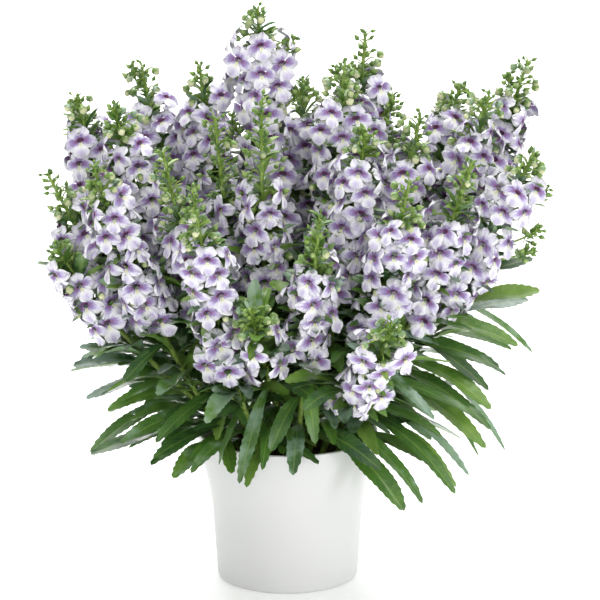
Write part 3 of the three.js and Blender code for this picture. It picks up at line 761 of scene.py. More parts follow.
def place_pairs(stem, index):
    """Opposite pairs, each a quarter turn from the last, droop more the lower they stand."""
    joints = [leaf.z for leaf in stem.leaves]
    if any(other.parent == index for other in stems):
        joints += [FORK_HEIGHT, FORK_HEIGHT + JOINT_GAP]
    z = (fork_start(stem) + 6 if stem.parent >= 0 else LEAF_START) + (index % 4) * 4
    pair = 0
    while z < stem.foot - 6:
        while any(abs(joint - z) < JOINT_GAP for joint in joints):
            z += 2
        share = (z - LEAF_START) / LEAFY_HEIGHT
        for half in (0, 180):
            heading = math.radians(stem.phase + 45 + pair * 90 + half + (draw() - 0.5) * 30)
            length = LEAF_LENGTH * mix(1, 0.68, share) * mix(0.85, 1.12, draw())
            slope = math.radians(mix(mix(-30, 12, share), mix(5, 40, share), draw()))
            arch = length * mix(0.16, 0.34, draw())
            roll = mix(-30, 30, draw())
            tip = stem.centre(z) + leaf_reach(heading, slope, length)
            place_leaf(stem, z, tip, LEAF_WIDTH * length / LEAF_LENGTH, arch, roll)
        pair += 1
        z += LEAF_SPACING


def fill_raceme(stem, faces):
    """More flowers, each in the freest direction at its height."""
    row = stems.index(stem)
    if row == SPARSE_ROW:
        return
    low = stem.whorl_height(0) - 2
    high = stem.tip[2] - stem.head + FILL_TOP
    for z in np.arange(low, high, FILL_SPACING):
        share = (z - low) / (high - low)
        start = fine.uniform(0, 360)
        size = fine.uniform(0.9, 1.1) - 0.1 * share ** 3
        lift = fine.uniform(-16, 18) + 22 * share
        roll = fine.uniform(-26, 26)
        reach = fine.uniform(0.82, 1.16) / size * WIDE_ROWS.get(row, 1)
        tries = [
            flower_at(stem, z, start + turn * 360 / FILL_DIRECTIONS, 0, reach, size, lift, roll)
            for turn in range(FILL_DIRECTIONS)
        ]
        centres = np.array([flower.face for flower in tries])
        near = np.linalg.norm(centres[:, None] - np.array(faces)[None], axis=2).min(axis=1)
        near = near - FILL_FRONT * np.array([flower.away[1] for flower in tries])
        gap = mix(FILL_GAP, FREE_GAP, smooth((z - FREE_HEIGHTS[0]) / np.ptp(FREE_HEIGHTS)))
        if near.max() > gap:
            flower = turned_aside(tries[near.argmax()], fine.uniform(-FILL_TURN, FILL_TURN))
            flower.share = share
            stem.fillers.append(flower)
            faces.append(flower.face)
            space.fill(flower_room(flower), FILL_ROOM)


def turned_aside(flower, angle):
    """A flower that looks to one side by an angle in degrees."""
    turn = math.radians(angle)
    out, right = flower.out, flower.right
    flower.out = out * math.cos(turn) + right * math.sin(turn)
    flower.right = right * math.cos(turn) - out * math.sin(turn)
    return flower


def add_broad_leaf(stem, z, tip, width, arch, roll):
    """A leaf whose tip strays further with each try, until the outer part of its blade has room."""
    for stray in range(BROAD_TRIES):
        leaf = leaf_from(stem, z, tip + fine.normal(0, 0.3 * stray, 3), width, arch, roll)
        if space.is_free(leaf_room(leaf, BROAD_START)):
            space.fill(leaf_room(leaf), FILL_ROOM)
            stem.leaves.append(leaf)
            return


def fill_leaves(stem):
    """More leaves between the pairs, shorter and steeper the higher they stand, wherever there is
    room."""
    first = fork_start(stem) if stem.parent >= 0 else LEAF_START - FILL_LEAF_LOW
    for z in np.arange(first, stem.foot + FILL_LEAF_TOP, FILL_LEAF_SPACING):
        share = np.clip((z - LEAF_START) / LEAFY_HEIGHT, 0, 1)
        for _ in range(FILL_LEAF_TRIES):
            heading = fine.uniform(0, 2 * math.pi)
            length = mix(*FILL_LEAF_LENGTHS, share) * fine.uniform(0.6, 1.1)
            steep = np.clip(0.7 * share + fine.uniform(-0.1, 0.5), 0, 1)
            slope = math.radians(mix(*FILL_LEAF_SLOPES, steep))
            tip = stem.centre(z) + leaf_reach(heading, slope, length)
            width = LEAF_WIDTH * mix(0.55, 1.05, length / LEAF_LENGTH)
            arch = length * fine.uniform(0.1, 0.32)
            leaf = leaf_from(stem, z, tip, width, arch, fine.uniform(-FILL_LEAF_ROLL, FILL_LEAF_ROLL))
            room = leaf_room(leaf)
            if space.is_free(room):
                space.fill(room, FILL_ROOM)
                stem.leaves.append(leaf)


stems = [Stem(*row) for row in RACEMES]
for stem in stems:
    take(stem.centre(np.arange(stem.start[2], stem.tip[2], 3)), STEM_ROOM)
for stem in stems:
    take_buds(stem)
for row, z, *tip, width, arch, roll in LARGE_LEAVES:
    place_leaf(stems[row], z, np.array(tip, float), width, arch, roll)
for stem in stems:
    place_flowers(stem)
for index, stem in enumerate(stems):
    place_pairs(stem, index)

# The finer plant fills the room that the solids leave.
space = Space()
taken = np.array([point for points in cells.values() for point in points])
for room in np.unique(taken[:, 3]):
    space.fill(taken[taken[:, 3] == room, :3], room)
faces = [flower.face for stem in stems for flower in stem.flowers]
for stem in stems:
    fill_raceme(stem, faces)
for row, z, *tip, width, arch, roll in BROAD_LEAVES:
    add_broad_leaf(stems[row], z, np.array(tip, float), width, arch, roll)
for stem in stems:
    fill_leaves(stem)


class Tissue:
    """Gathers the points and faces of one piece. Each point has six painted values: how far across and
    along its petal or blade it lies, that petal's or blade's own tone, and three for its colours. The
    first three are stored as place and the others as paint."""

    def __init__(self):
        self.points = []
        self.values = []
        self.faces = {3: [], 4: []}
        self.finishes = {3: [], 4: []}
        self.count = 0

    def add(self, points, values, faces, finish=0):
        points = points.reshape(-1, 3)
        for corners in faces:
            self.faces[corners.shape[1]].append(corners + self.count)
            self.finishes[corners.shape[1]].append(np.full(len(corners), finish))
        self.points.append(points)
        self.values.append(np.broadcast_to(values, (len(points), 6)))
        self.count += len(points)

    def piece(self, name, materials, sharp=None):
        """The mesh of all that was gathered, smooth but for edges sharper than an angle in degrees."""
        faces = [np.vstack(self.faces[n]) for n in (4, 3) if self.faces[n]]
        finishes = np.concatenate([part for n in (4, 3) for part in self.finishes[n]])
        sizes = np.concatenate([np.full(len(part), part.shape[1]) for part in faces])
        corners = np.concatenate([part.ravel() for part in faces])
        mesh = bpy.data.meshes.new(name)
        mesh.vertices.add(self.count)
        mesh.vertices.foreach_set("co", (np.vstack(self.points) * MM).ravel())
        mesh.loops.add(len(corners))
        mesh.loops.foreach_set("vertex_index", corners)
        mesh.polygons.add(len(sizes))
        mesh.polygons.foreach_set("loop_start", np.concatenate([[0], np.cumsum(sizes)[:-1]]))
        mesh.polygons.foreach_set("material_index", finishes)
        mesh.update(calc_edges=True)
        values = np.vstack(self.values)
        for key, columns in (("place", values[:, :3]), ("paint", values[:, 3:])):
            layer = mesh.attributes.new(key, "FLOAT_VECTOR", "POINT")
            layer.data.foreach_set("vector", np.ascontiguousarray(columns).ravel())
        for material in materials:
            mesh.materials.append(material)
        mesh.shade_smooth()
        if sharp:
            mesh.set_sharp_from_angle(angle=math.radians(sharp))
        piece = bpy.data.objects.new(name, mesh)
        bpy.context.scene.collection.objects.link(piece)
        return piece


@functools.cache
def grid(rows, columns, closed=False):
    """The quads between rows of points, joined round when closed."""
    first = np.arange(columns if closed else columns - 1)
    second = (first + 1) % columns
    steps = np.arange(rows - 1)[:, None] * columns
    corners = [first + steps, second + steps, second + steps + columns, first + steps + columns]
    return np.stack(corners, axis=-1).reshape(-1, 4)


@functools.cache
def fan(ring, columns, apex):
    """Triangles from a ring of points, anticlockwise as seen from outside, to an apex."""
    first = np.arange(columns) + ring
    second = (np.arange(columns) + 1) % columns + ring
    return np.stack([first, second, np.full(columns, apex)], axis=-1)


@functools.cache
def closed_body(rows, columns):
    """The faces of a body whose rows of points are followed by the point that closes its first row and
    the one that closes its last."""
    count = rows * columns
    ends = [fan(0, columns, count)[:, ::-1], fan(count - columns, columns, count + 1)]
    return [grid(rows, columns, True), *ends]


def full_turn(count):
    """Evenly spaced angles round a circle."""
    return np.arange(count) * 2 * math.pi / count


def ring_round(out, count):
    """Evenly spaced directions round another one."""
    side = unit(np.cross(out, UP + 0.01))
    face = np.cross(out, side)
    turn = full_turn(count)[:, None]
    return side * np.cos(turn) + face * np.sin(turn)


def add_tube(tissue, path, radii, sides):
    """A closed green tube round a path, with a radius at each of its points."""
    path = np.asarray(path, float)
    radii = np.broadcast_to(radii, len(path))[:, None, None]
    along = unit(np.gradient(path, axis=0))
    reference = UP if abs(along[0] @ UP) < 0.8 else np.array([0.0, 1.0, 0.0])
    side = unit(np.cross(along, reference))
    face = np.cross(along, side)
    turn = full_turn(sides)[:, None]
    ring = side[:, None] * np.cos(turn) + face[:, None] * np.sin(turn)
    points = np.vstack([(path[:, None] + ring * radii).reshape(-1, 3), path[:1], path[-1:]])
    tissue.add(points, np.zeros(6), closed_body(len(path), sides), STEM)


def arc(start, control, end, steps):
    """Points on the curve that leaves start towards control and reaches end from it."""
    t = np.linspace(0, 1, steps)[:, None]
    return mix(mix(start, control, t), mix(control, end, t), t)


def add_leaf(tissue, leaf, tone):
    """A blade with a sunk midrib, a keel below, waved sides and a finely toothed edge."""
    length = np.linalg.norm(leaf.tip - leaf.root)
    teeth = max(2, round((1 - TOOTHED_FROM) * length / TOOTH_SPACING))
    plain = np.linspace(0, TOOTHED_FROM, PLAIN_STATIONS + 1)[:-1]
    t = np.concatenate([plain, np.linspace(TOOTHED_FROM, 1, 2 * teeth + 1)[:-1]])
    stations = len(t)
    at, side, face = leaf_frame(leaf, t)
    half = np.maximum(0.5 * leaf.width * outline(t), mix(*LEAF_ENDS, t) * leaf.width)
    pointed = np.concatenate([np.zeros(PLAIN_STATIONS), np.tile([0, TOOTH_DEPTH], teeth)])
    pointed = pointed * np.minimum(half / 2, 1)
    s = SIDE_SHARES[None, :]
    width = half[:, None] + (abs(s) == 1) * pointed[:, None]
    wave = LEAF_WAVE * np.sin(9 * t[:, None] + 2.6 * s + 7 * tone) * s * s
    lift = half[:, None] * (LEAF_FOLD * abs(s) ** 1.4 + wave)
    under = UNDERSIDE[None, :] * LEAF_THICKNESS * mix(1, 0.35, 2 * abs(s)) * (leaf.width / LEAF_WIDTH)
    sunk = MIDRIB_DEPTH * (s == 0) * (1 - UNDERSIDE[None, :])
    points = at[:, None] + side[:, None] * (s * width)[..., None]
    points = points + face[:, None] * (lift - under - sunk)[..., None]
    lean = (abs(s) == 1) * pointed[:, None] * TOOTH_LEAN
    points = points + np.cross(side, face)[:, None] * lean[..., None]
    points = np.vstack([points.reshape(-1, 3), leaf.tip[None], leaf.root[None]])
    values = np.zeros((len(points), 6))
    values[:-2, 0] = np.tile(SIDE_SHARES, stations)
    values[:-2, 1] = np.repeat(t, len(SIDE_SHARES))
    values[-2, 1] = 1
    values[:, 2] = tone
    values[:-2, 3] = np.tile(UNDERSIDE, stations)
    corners = len(SIDE_SHARES)
    body = corners * stations
    ends = [fan(body - corners, corners, body), fan(0, corners, body + 1)[:, ::-1]]
    tissue.add(points, values, [grid(stations, corners, True), *ends], LEAF)


def petal_paint(kind, across, along):
    """How purple, yellow and lavender a petal is. Purple deepens from lavender to the throat's wine red
    as it grows from 0.2 to 1.7. Across runs up on a lateral lobe, whose band lies on its upper side."""
    spot = np.exp(-(((along - 0.7) / 0.2) ** 2) - (across / 0.5) ** 2)
    nothing = np.zeros_like(along)
    if kind == "upper":
        streak = 0.4 * np.exp(-((across / 0.3) ** 2)) * (1 - smooth((along - 0.1) / 0.65))
        return 1 - smooth(along / 0.5) + streak, nothing, 0.5 * spot
    if kind == "lateral":
        inner = 1 - smooth((abs(across - 0.2) - 0.36) / 0.5)
        fading = 1 - smooth((along - 0.25) / 0.65)
        return 0.95 * inner * fading + 0.75 * (1 - smooth(along / 0.4)), nothing, 0.8 * spot
    neck = 1 - smooth((along - 0.08) / 0.4)
    eyes = 1.3 * smooth((abs(across) - 0.45) / 0.3) * (1 - smooth(along / 0.2))
    return eyes + 0.25 * spot, 0.7 * neck * (1 - 0.6 * abs(across)), spot


def add_petals(tissue, flowers):
    """The corollas of a raceme: a pouch, two upper lobes, two lateral ones and a lower lip."""
    count = len(flowers)
    axes = np.array([(f.right, f.up, f.out) for f in flowers])
    face = np.array([f.face for f in flowers])
    size = np.array([f.size for f in flowers])
    tone = fine.uniform(0, 1, count)

    def settle(x, y, z, values, faces):
        """Adds one part of the flower to all of them, by its points right, up and forward of the throat."""
        local = np.stack(np.broadcast_arrays(x, y, z), axis=-1)
        local = local.reshape(-1, local.shape[-3] * local.shape[-2], 3)
        world = face[:, None] + (local * size[:, None, None]) @ axes
        values = np.broadcast_to(values, (count, local.shape[1], 6)).copy()
        values[:, :, 2] = tone[:, None]
        steps = np.arange(count)[:, None, None] * local.shape[1]
        tissue.add(world, values.reshape(-1, 6), [(faces[None] + steps).reshape(-1, faces.shape[1])])

    def vary(low, high):
        """One draw for each flower."""
        return fine.uniform(low, high, (count, 1, 1))

    def stray(width):
        """One draw for each flower that lies mostly within a width of nothing."""
        return fine.normal(0, width, (count, 1, 1))

    def rim(angle):
        return THROAT_WIDTH * np.cos(angle), THROAT_HEIGHT * np.sin(angle)

    angle = full_turn(POUCH_SIDES)
    x, y = rim(angle)
    share, depth = POUCH.T[:, :, None]
    sag = -0.9 * np.sin(np.pi * depth / POUCH[-1, 1])
    wet = np.zeros((*np.broadcast_shapes(share.shape, x.shape), 6))
    wet[..., 3] = 1.6 * smooth((np.sin(angle) + 0.5) / 0.8)
    wet[..., 4] = 0.6 * smooth((-np.sin(angle) - 0.3) / 0.5) * (1 - smooth(depth / 3.5))
    settle(x * share, y * share + sag, -depth, wet.reshape(-1, 6), grid(len(POUCH), POUCH_SIDES, True))

    along = np.sin(np.linspace(0, math.pi / 2, PETAL_ROWS))[:, None]
    across = np.linspace(-1, 1, PETAL_COLUMNS)[None, :]
    for kind, lobes in PETALS.items():
        for direction, spread, length, widest, where, neck, forward, curl in lobes:
            length = length * vary(*LOBE_LENGTHS)
            turn = np.radians(direction + stray(LOBE_TURN))
            half = spread_of(along, widest, where, neck) * vary(*LOBE_WIDTHS)
            base = THROAT_WIDTH * math.sin(math.radians(spread))
            scallop = np.sin(math.pi * 2.2 * across + vary(0, 6))
            reach = length * (along - (0.07 * across ** 2 + 0.05 * scallop) * along ** 2)
            waved = 1 + 0.09 * np.sin(7 * along + vary(0, 6))
            sideways = across * mix(0, half * waved - base, smooth(along * 3))
            ruffle = vary(*RUFFLES) * along ** 1.6
            crease = np.sin(math.pi * 2.8 * across + vary(0, 6))
            crease = crease + 0.5 * np.sin(math.pi * 1.7 * across + vary(0, 6))
            bent = forward * along - (curl + stray(LOBE_CURL)) * along ** 2
            cup = -vary(*CUPS) * across ** 2 * along
            x, y = rim(np.radians(direction + across * spread))
            values = np.zeros((PETAL_ROWS, PETAL_COLUMNS, 6))
            values[..., 0] = across
            values[..., 1] = along
            upwards = -across if 90 < direction < 270 else across
            values[..., 3], values[..., 4], values[..., 5] = petal_paint(kind, upwards, along)
            settle(
                x + np.cos(turn) * reach - np.sin(turn) * sideways,
                y + np.sin(turn) * reach + np.cos(turn) * sideways,
                bent + cup + ruffle * crease,
                values.reshape(-1, 6),
                grid(PETAL_ROWS, PETAL_COLUMNS),
            )


def spread_of(along, widest, where, neck):
    """A lobe's half width: a neck, then it opens to its widest and rounds off."""
    opened = mix(neck, 1, smooth((along - 0.1) / (where - 0.1)))
    closed = np.clip((along - where) / (1 - where), 0, 1)
    return widest * opened * np.sqrt(1 - 0.95 * closed ** 2)


def add_bud(tissue, middle, out, size, profile, tip, ripeness, tone):
    """A closed bud, turned from its profile."""
    ring = ring_round(out, BUD_SIDES)
    profile = profile * size
    rows = len(profile)
    points = middle + ring * profile[:, :1, None] + out * profile[:, 1:, None]
    points = np.vstack([points.reshape(-1, 3), middle - out * size, middle + out * size * tip])
    values = np.zeros((len(points), 6))
    values[:, 1] = np.concatenate([np.repeat(np.linspace(0, 1, rows), BUD_SIDES), [0, 1]])
    values[:, 2] = tone
    values[:, 3] = ripeness
    tissue.add(points, values, closed_body(rows, BUD_SIDES), BUD)


def add_ripe_bud(tissue, root, control, middle, out, size):
    """A round bud at the end of a bent stalk, held in its calyx."""
    tone = fine.uniform(0, 0.6)
    stalk = arc(root, control, middle - out * size * 0.8, 6)
    add_tube(tissue, stalk, RIPE_STALK_RADIUS, STALK_SIDES)
    add_bud(tissue, middle, out, size, RIPE_BUD, RIPE_TIP, fine.uniform(0.35, 1), tone)
    add_calyx(tissue, middle - out * size * 0.95, out, size * 1.08, size * 1.3, tone)


def add_calyx(tissue, base, out, radius, length, tone):
    """Five pointed sepals in a cup round a bud's or flower's foot."""
    corners = 2 * SEPALS
    ring = ring_round(out, corners)
    pointed = (np.arange(corners) % 2)[:, None]
    rows = [
        base + ring * 0.3 * radius,
        base + ring * radius * 0.9 + out * length * 0.32,
        base + ring * radius * mix(1.0, 1.12, pointed) + out * length * mix(0.5, 1.1, pointed),
    ]
    values = np.array([0, 0.5, tone, 0, 0, 0])
    tissue.add(np.vstack(rows), values, [grid(len(rows), corners, True)], LEAF)


def add_bract(tissue, root, away, along, length, breadth, rise, tone):
    """A small pointed leaf of the raceme, hollow on its upper side."""
    t = BRACT_STATIONS[:, :1]
    heading = away * math.cos(rise) + along * math.sin(rise)
    face = along * math.cos(rise) - away * math.sin(rise)
    side = np.cross(heading, face)
    middle = root + heading * length * t + face * 0.22 * length * t * (1 - t)
    half = 0.5 * (length * breadth) * BRACT_STATIONS[:, 1:]
    edge = face * half * 0.5
    rows = [middle + side * half + edge, middle, middle - side * half + edge, middle - face * 0.5]
    points = np.vstack([np.stack(rows, axis=1).reshape(-1, 3), root + heading * length, root])
    values = np.zeros((len(points), 6))
    values[:-2, 0] = np.tile([1, 0, -1, 0], len(t))
    values[:-2, 1] = np.repeat(t.ravel(), 4)
    values[-2, 1] = 1
    values[:, 2] = tone
    body = 4 * len(t)
    ends = [fan(body - 4, 4, body), fan(0, 4, body + 1)[:, ::-1]]
    tissue.add(points, values, [grid(len(t), 4, True), *ends], LEAF)


def hex_colour(code):
    """An sRGB colour code as linear red, green, blue and alpha."""
    parts = [int(code[i:i + 2], 16) / 255 for i in (1, 3, 5)]
    return [p / 12.92 if p <= 0.04045 else ((p + 0.055) / 1.055) ** 2.4 for p in parts] + [1]


def new_material(name):
    """A material, its tree and its surface shader."""
    material = bpy.data.materials.new(name)
    material.use_nodes = True
    return material, material.node_tree, material.node_tree.nodes["Principled BSDF"]


def set_inputs(tree, node, inputs):
    """Fills a node's inputs, each from another node's socket, a colour code or a plain value."""
    for key, value in inputs.items():
        if isinstance(value, bpy.types.NodeSocket):
            tree.links.new(value, node.inputs[key])
        else:
            node.inputs[key].default_value = hex_colour(value) if isinstance(value, str) else value


def add_node(tree, kind, inputs=None, stops=(), **settings):
    """A node with its settings, its inputs, and the places and colour codes of a ramp's stops."""
    node = tree.nodes.new(kind)
    for key, value in settings.items():
        setattr(node, key, value)
    set_inputs(tree, node, inputs or {})
    if stops:
        ramp = node.color_ramp.elements
        while len(ramp) < len(stops):
            ramp.new(0.5)
        for stop, (place, code) in zip(ramp, stops):
            stop.position = place
            stop.color = hex_colour(code)
    return node


def painted(tree):
    """The values that a piece's points are painted with: their places, and then their paints."""
    values = []
    for name in ("place", "paint"):
        source = add_node(tree, "ShaderNodeAttribute", attribute_name=name)
        parts = add_node(tree, "ShaderNodeSeparateXYZ", {"Vector": source.outputs["Vector"]})
        values.append(parts.outputs)
    return values


def petal_tissue():
    """Living petals: thin, matt and faintly ribbed. The eye sees white to pale lilac lobes, a purple
    band that runs from the wine-red throat into the lateral lobes, and a cream and yellow-green lip."""
    material, tree, surface = new_material("angelonia_petal")
    place, paint = painted(tree)
    coordinates = add_node(tree, "ShaderNodeTexCoord")
    # Pigment lies in patches about 1.5 mm across, so the band's edge is uneven.
    patches = add_node(tree, "ShaderNodeTexNoise", {
        "Vector": coordinates.outputs["Object"], "Scale": 1 / (1.5 * MM), "Detail": 3.0,
    })
    # Nine faint ribs fan out along each lobe, and the pigment runs out along them.
    fanned = add_node(tree, "ShaderNodeMath", {0: place["X"], 1: 28.0}, operation="MULTIPLY")
    ribs = add_node(tree, "ShaderNodeMath", {0: fanned.outputs[0]}, operation="SINE")
    shift = add_node(tree, "ShaderNodeMath", {0: patches.outputs["Fac"], 1: 0.5}, operation="SUBTRACT")
    uneven = add_node(tree, "ShaderNodeMath", {
        0: shift.outputs[0], 1: 0.7, 2: paint["X"],
    }, operation="MULTIPLY_ADD")
    ragged = add_node(tree, "ShaderNodeMath", {
        0: ribs.outputs[0], 1: 0.14, 2: uneven.outputs[0],
    }, operation="MULTIPLY_ADD")
    band = add_node(tree, "ShaderNodeMapRange", {
        "Value": ragged.outputs[0], "From Min": 0.08, "From Max": 0.8,
    }, interpolation_type="SMOOTHSTEP")
    # The pigment deepens from lavender at the band's edge, through violet, to wine red in the throat.
    depth = add_node(tree, "ShaderNodeMapRange", {
        "Value": ragged.outputs[0], "From Min": 0.2, "From Max": 1.7,
    })
    pigment = add_node(tree, "ShaderNodeValToRGB", {"Fac": depth.outputs[0]}, [
        (0, "#c0b6de"), (0.5, "#9784b5"), (0.78, "#8b6a9d"), (1, "#884872"),
    ])
    # Each flower has its own white, and a lavender blush lies beyond the band.
    tone = add_node(tree, "ShaderNodeMapRange", {"Value": place["Z"], "To Min": 0.05, "To Max": 0.5})
    lobe = add_node(tree, "ShaderNodeMix", {
        "Factor": tone.outputs[0], "A": "#f1f1f3", "B": "#e8e7ee",
    }, data_type="RGBA")
    blush = add_node(tree, "ShaderNodeMath", {0: paint["Z"], 1: 0.95}, operation="MULTIPLY")
    lavender = add_node(tree, "ShaderNodeMix", {
        "Factor": blush.outputs[0], "A": lobe.outputs["Result"], "B": "#b8a9d6",
    }, data_type="RGBA")
    # The lip's neck is cream, and yellow-green where it is deepest.
    lip = add_node(tree, "ShaderNodeValToRGB", {"Fac": paint["Y"]}, [(0, "#f4f3e4"), (1, "#b3b85c")])
    cream = add_node(tree, "ShaderNodeMapRange", {
        "Value": paint["Y"], "From Min": 0.1, "From Max": 0.5,
    }, interpolation_type="SMOOTHSTEP")
    palate = add_node(tree, "ShaderNodeMix", {
        "Factor": cream.outputs[0], "A": lavender.outputs["Result"], "B": lip.outputs["Color"],
    }, data_type="RGBA")
    colour = add_node(tree, "ShaderNodeMix", {
        "Factor": band.outputs[0], "A": palate.outputs["Result"], "B": pigment.outputs["Color"],
    }, data_type="RGBA")
    # Soft crumples some 2.5 mm across break up the light, with the ribs upon them.
    crumples = add_node(tree, "ShaderNodeTexNoise", {
        "Vector": coordinates.outputs["Object"], "Scale": 1 / (2.5 * MM), "Detail": 2.0,
    })
    height = add_node(tree, "ShaderNodeMath", {
        0: ribs.outputs[0], 1: 0.06, 2: crumples.outputs["Fac"],
    }, operation="MULTIPLY_ADD")
    relief = add_node(tree, "ShaderNodeBump", {
        "Height": height.outputs[0], "Distance": 1.3 * MM, "Strength": 0.6,
    })
    set_inputs(tree, surface, {
        "Base Color": colour.outputs["Result"], "Normal": relief.outputs["Normal"],
        "Roughness": 0.6, "IOR": 1.4, "Sheen Weight": 0.1,
    })
    return material


def leaf_tissue():
    """Living leaf blades: a skin of wax over green flesh. The eye sees deep green with a pale midrib and
    feathered veins, a cool gloss where light rakes it, partly painted in as a grey-blue sheen on some
    blades, and a duller, lighter underside."""
    material, tree, surface = new_material("angelonia_leaf")
    place, paint = painted(tree)
    coordinates = add_node(tree, "ShaderNodeTexCoord")
    # Cloudy shades about 12 mm across, on each blade's own tone.
    clouds = add_node(tree, "ShaderNodeTexNoise", {
        "Vector": coordinates.outputs["Object"], "Scale": 1 / (12 * MM), "Detail": 4.0,
    })
    tone = add_node(tree, "ShaderNodeMath", {0: place["Z"], 1: 0.6}, operation="MULTIPLY")
    shade = add_node(tree, "ShaderNodeMath", {
        0: clouds.outputs["Fac"], 1: 0.5, 2: tone.outputs[0],
    }, operation="MULTIPLY_ADD")
    greens = add_node(tree, "ShaderNodeValToRGB", {"Fac": shade.outputs[0]}, [
        (0.25, "#2b4f2a"), (0.55, "#4f7a2a"), (1, "#9cb95a"),
    ])
    # Side veins leave the midrib forwards, some 5 mm apart on a full leaf.
    away = add_node(tree, "ShaderNodeMath", {0: place["X"]}, operation="ABSOLUTE")
    slant = add_node(tree, "ShaderNodeMath", {0: away.outputs[0], 1: -9.0}, operation="MULTIPLY")
    run = add_node(tree, "ShaderNodeMath", {
        0: place["Y"], 1: 90.0, 2: slant.outputs[0],
    }, operation="MULTIPLY_ADD")
    wave = add_node(tree, "ShaderNodeMath", {0: run.outputs[0]}, operation="SINE")
    side_veins = add_node(tree, "ShaderNodeMapRange", {
        "Value": wave.outputs[0], "From Min": 0.8, "From Max": 1.0, "To Max": 0.35,
    }, interpolation_type="SMOOTHSTEP")
    midrib = add_node(tree, "ShaderNodeMapRange", {
        "Value": away.outputs[0], "From Min": 0.16, "From Max": 0.04,
    }, interpolation_type="SMOOTHSTEP")
    vein = add_node(tree, "ShaderNodeMath", {
        0: side_veins.outputs[0], 1: midrib.outputs[0],
    }, operation="MAXIMUM")
    vein_share = add_node(tree, "ShaderNodeMath", {0: vein.outputs[0], 1: 0.4}, operation="MULTIPLY")
    veined = add_node(tree, "ShaderNodeMix", {
        "Factor": vein_share.outputs[0], "A": greens.outputs["Color"], "B": "#8aa74e",
    }, data_type="RGBA")
    # Painted sheen: a third of the blades are greyed towards a cool blue-green, in patches, standing in for
    # the gloss that raking light gives them.
    turns = add_node(tree, "ShaderNodeMath", {0: place["Z"], 1: 40.0}, operation="MULTIPLY")
    blade = add_node(tree, "ShaderNodeMath", {0: turns.outputs[0]}, operation="SINE")
    sheen_mask = add_node(tree, "ShaderNodeMath", {
        0: blade.outputs[0], 1: 0.4, 2: clouds.outputs["Fac"],
    }, operation="MULTIPLY_ADD")
    painted_sheen = add_node(tree, "ShaderNodeMapRange", {
        "Value": sheen_mask.outputs[0], "From Min": 0.68, "From Max": 0.95, "To Max": 0.65,
    }, interpolation_type="SMOOTHSTEP")
    sheened = add_node(tree, "ShaderNodeMix", {
        "Factor": painted_sheen.outputs[0], "A": veined.outputs["Result"], "B": "#8fa89a",
    }, data_type="RGBA")
    under = add_node(tree, "ShaderNodeMath", {0: paint["X"], 1: 0.6}, operation="MULTIPLY")
    colour = add_node(tree, "ShaderNodeMix", {
        "Factor": under.outputs[0], "A": sheened.outputs["Result"], "B": "#7f9f55",
    }, data_type="RGBA")
    relief = add_node(tree, "ShaderNodeBump", {
        "Height": vein.outputs[0], "Distance": 0.25 * MM, "Strength": 0.5,
    }, invert=True)
    gloss = add_node(tree, "ShaderNodeMapRange", {
        "Value": clouds.outputs["Fac"], "From Min": 0.3, "From Max": 0.7, "To Min": 0.3, "To Max": 0.44,
    })
    set_inputs(tree, surface, {
        "Base Color": colour.outputs["Result"], "Normal": relief.outputs["Normal"],
        "Roughness": gloss.outputs[0], "IOR": 1.45, "Coat Weight": 0.8, "Coat Roughness": 0.24,
    })
    return material


def stem_tissue():
    """Soft green stems: smooth and slightly ridged along their length. The eye sees yellow-green with
    lighter and darker streaks."""
    material, tree, surface = new_material("angelonia_stem")
    coordinates = add_node(tree, "ShaderNodeTexCoord")
    # Streaks 1.2 mm wide are drawn out to five times their width.
    stretched = add_node(tree, "ShaderNodeMapping", {
        "Vector": coordinates.outputs["Object"], "Scale": (1, 1, 0.2),
    })
    streaks = add_node(tree, "ShaderNodeTexNoise", {
        "Vector": stretched.outputs["Vector"], "Scale": 1 / (1.2 * MM), "Detail": 2.0,
    })
    greens = add_node(tree, "ShaderNodeValToRGB", {"Fac": streaks.outputs["Fac"]}, [
        (0.3, "#5d7c2c"), (0.7, "#9cb658"),
    ])
    relief = add_node(tree, "ShaderNodeBump", {
        "Height": streaks.outputs["Fac"], "Distance": 0.15 * MM, "Strength": 0.5,
    })
    set_inputs(tree, surface, {
        "Base Color": greens.outputs["Color"], "Normal": relief.outputs["Normal"],
        "Roughness": 0.5, "IOR": 1.45,
    })
    return material


def bud_tissue():
    """Closed buds: tight petals, green at the foot and cream towards the tip as they ripen, with a
    soft shine."""
    material, tree, surface = new_material("angelonia_bud")
    place, paint = painted(tree)
    young = add_node(tree, "ShaderNodeMix", {
        "Factor": place["Z"], "A": "#4a6a33", "B": "#85a350",
    }, data_type="RGBA")
    ripe = add_node(tree, "ShaderNodeMix", {
        "Factor": paint["X"], "A": young.outputs["Result"], "B": "#d9dbaf",
    }, data_type="RGBA")
    foot = add_node(tree, "ShaderNodeMapRange", {
        "Value": place["Y"], "From Min": 0.1, "From Max": 0.75,
    }, interpolation_type="SMOOTHSTEP")
    colour = add_node(tree, "ShaderNodeMix", {
        "Factor": foot.outputs[0], "A": "#587733", "B": ripe.outputs["Result"],
    }, data_type="RGBA")
    set_inputs(tree, surface, {"Base Color": colour.outputs["Result"], "Roughness": 0.45, "IOR": 1.42})
    return material


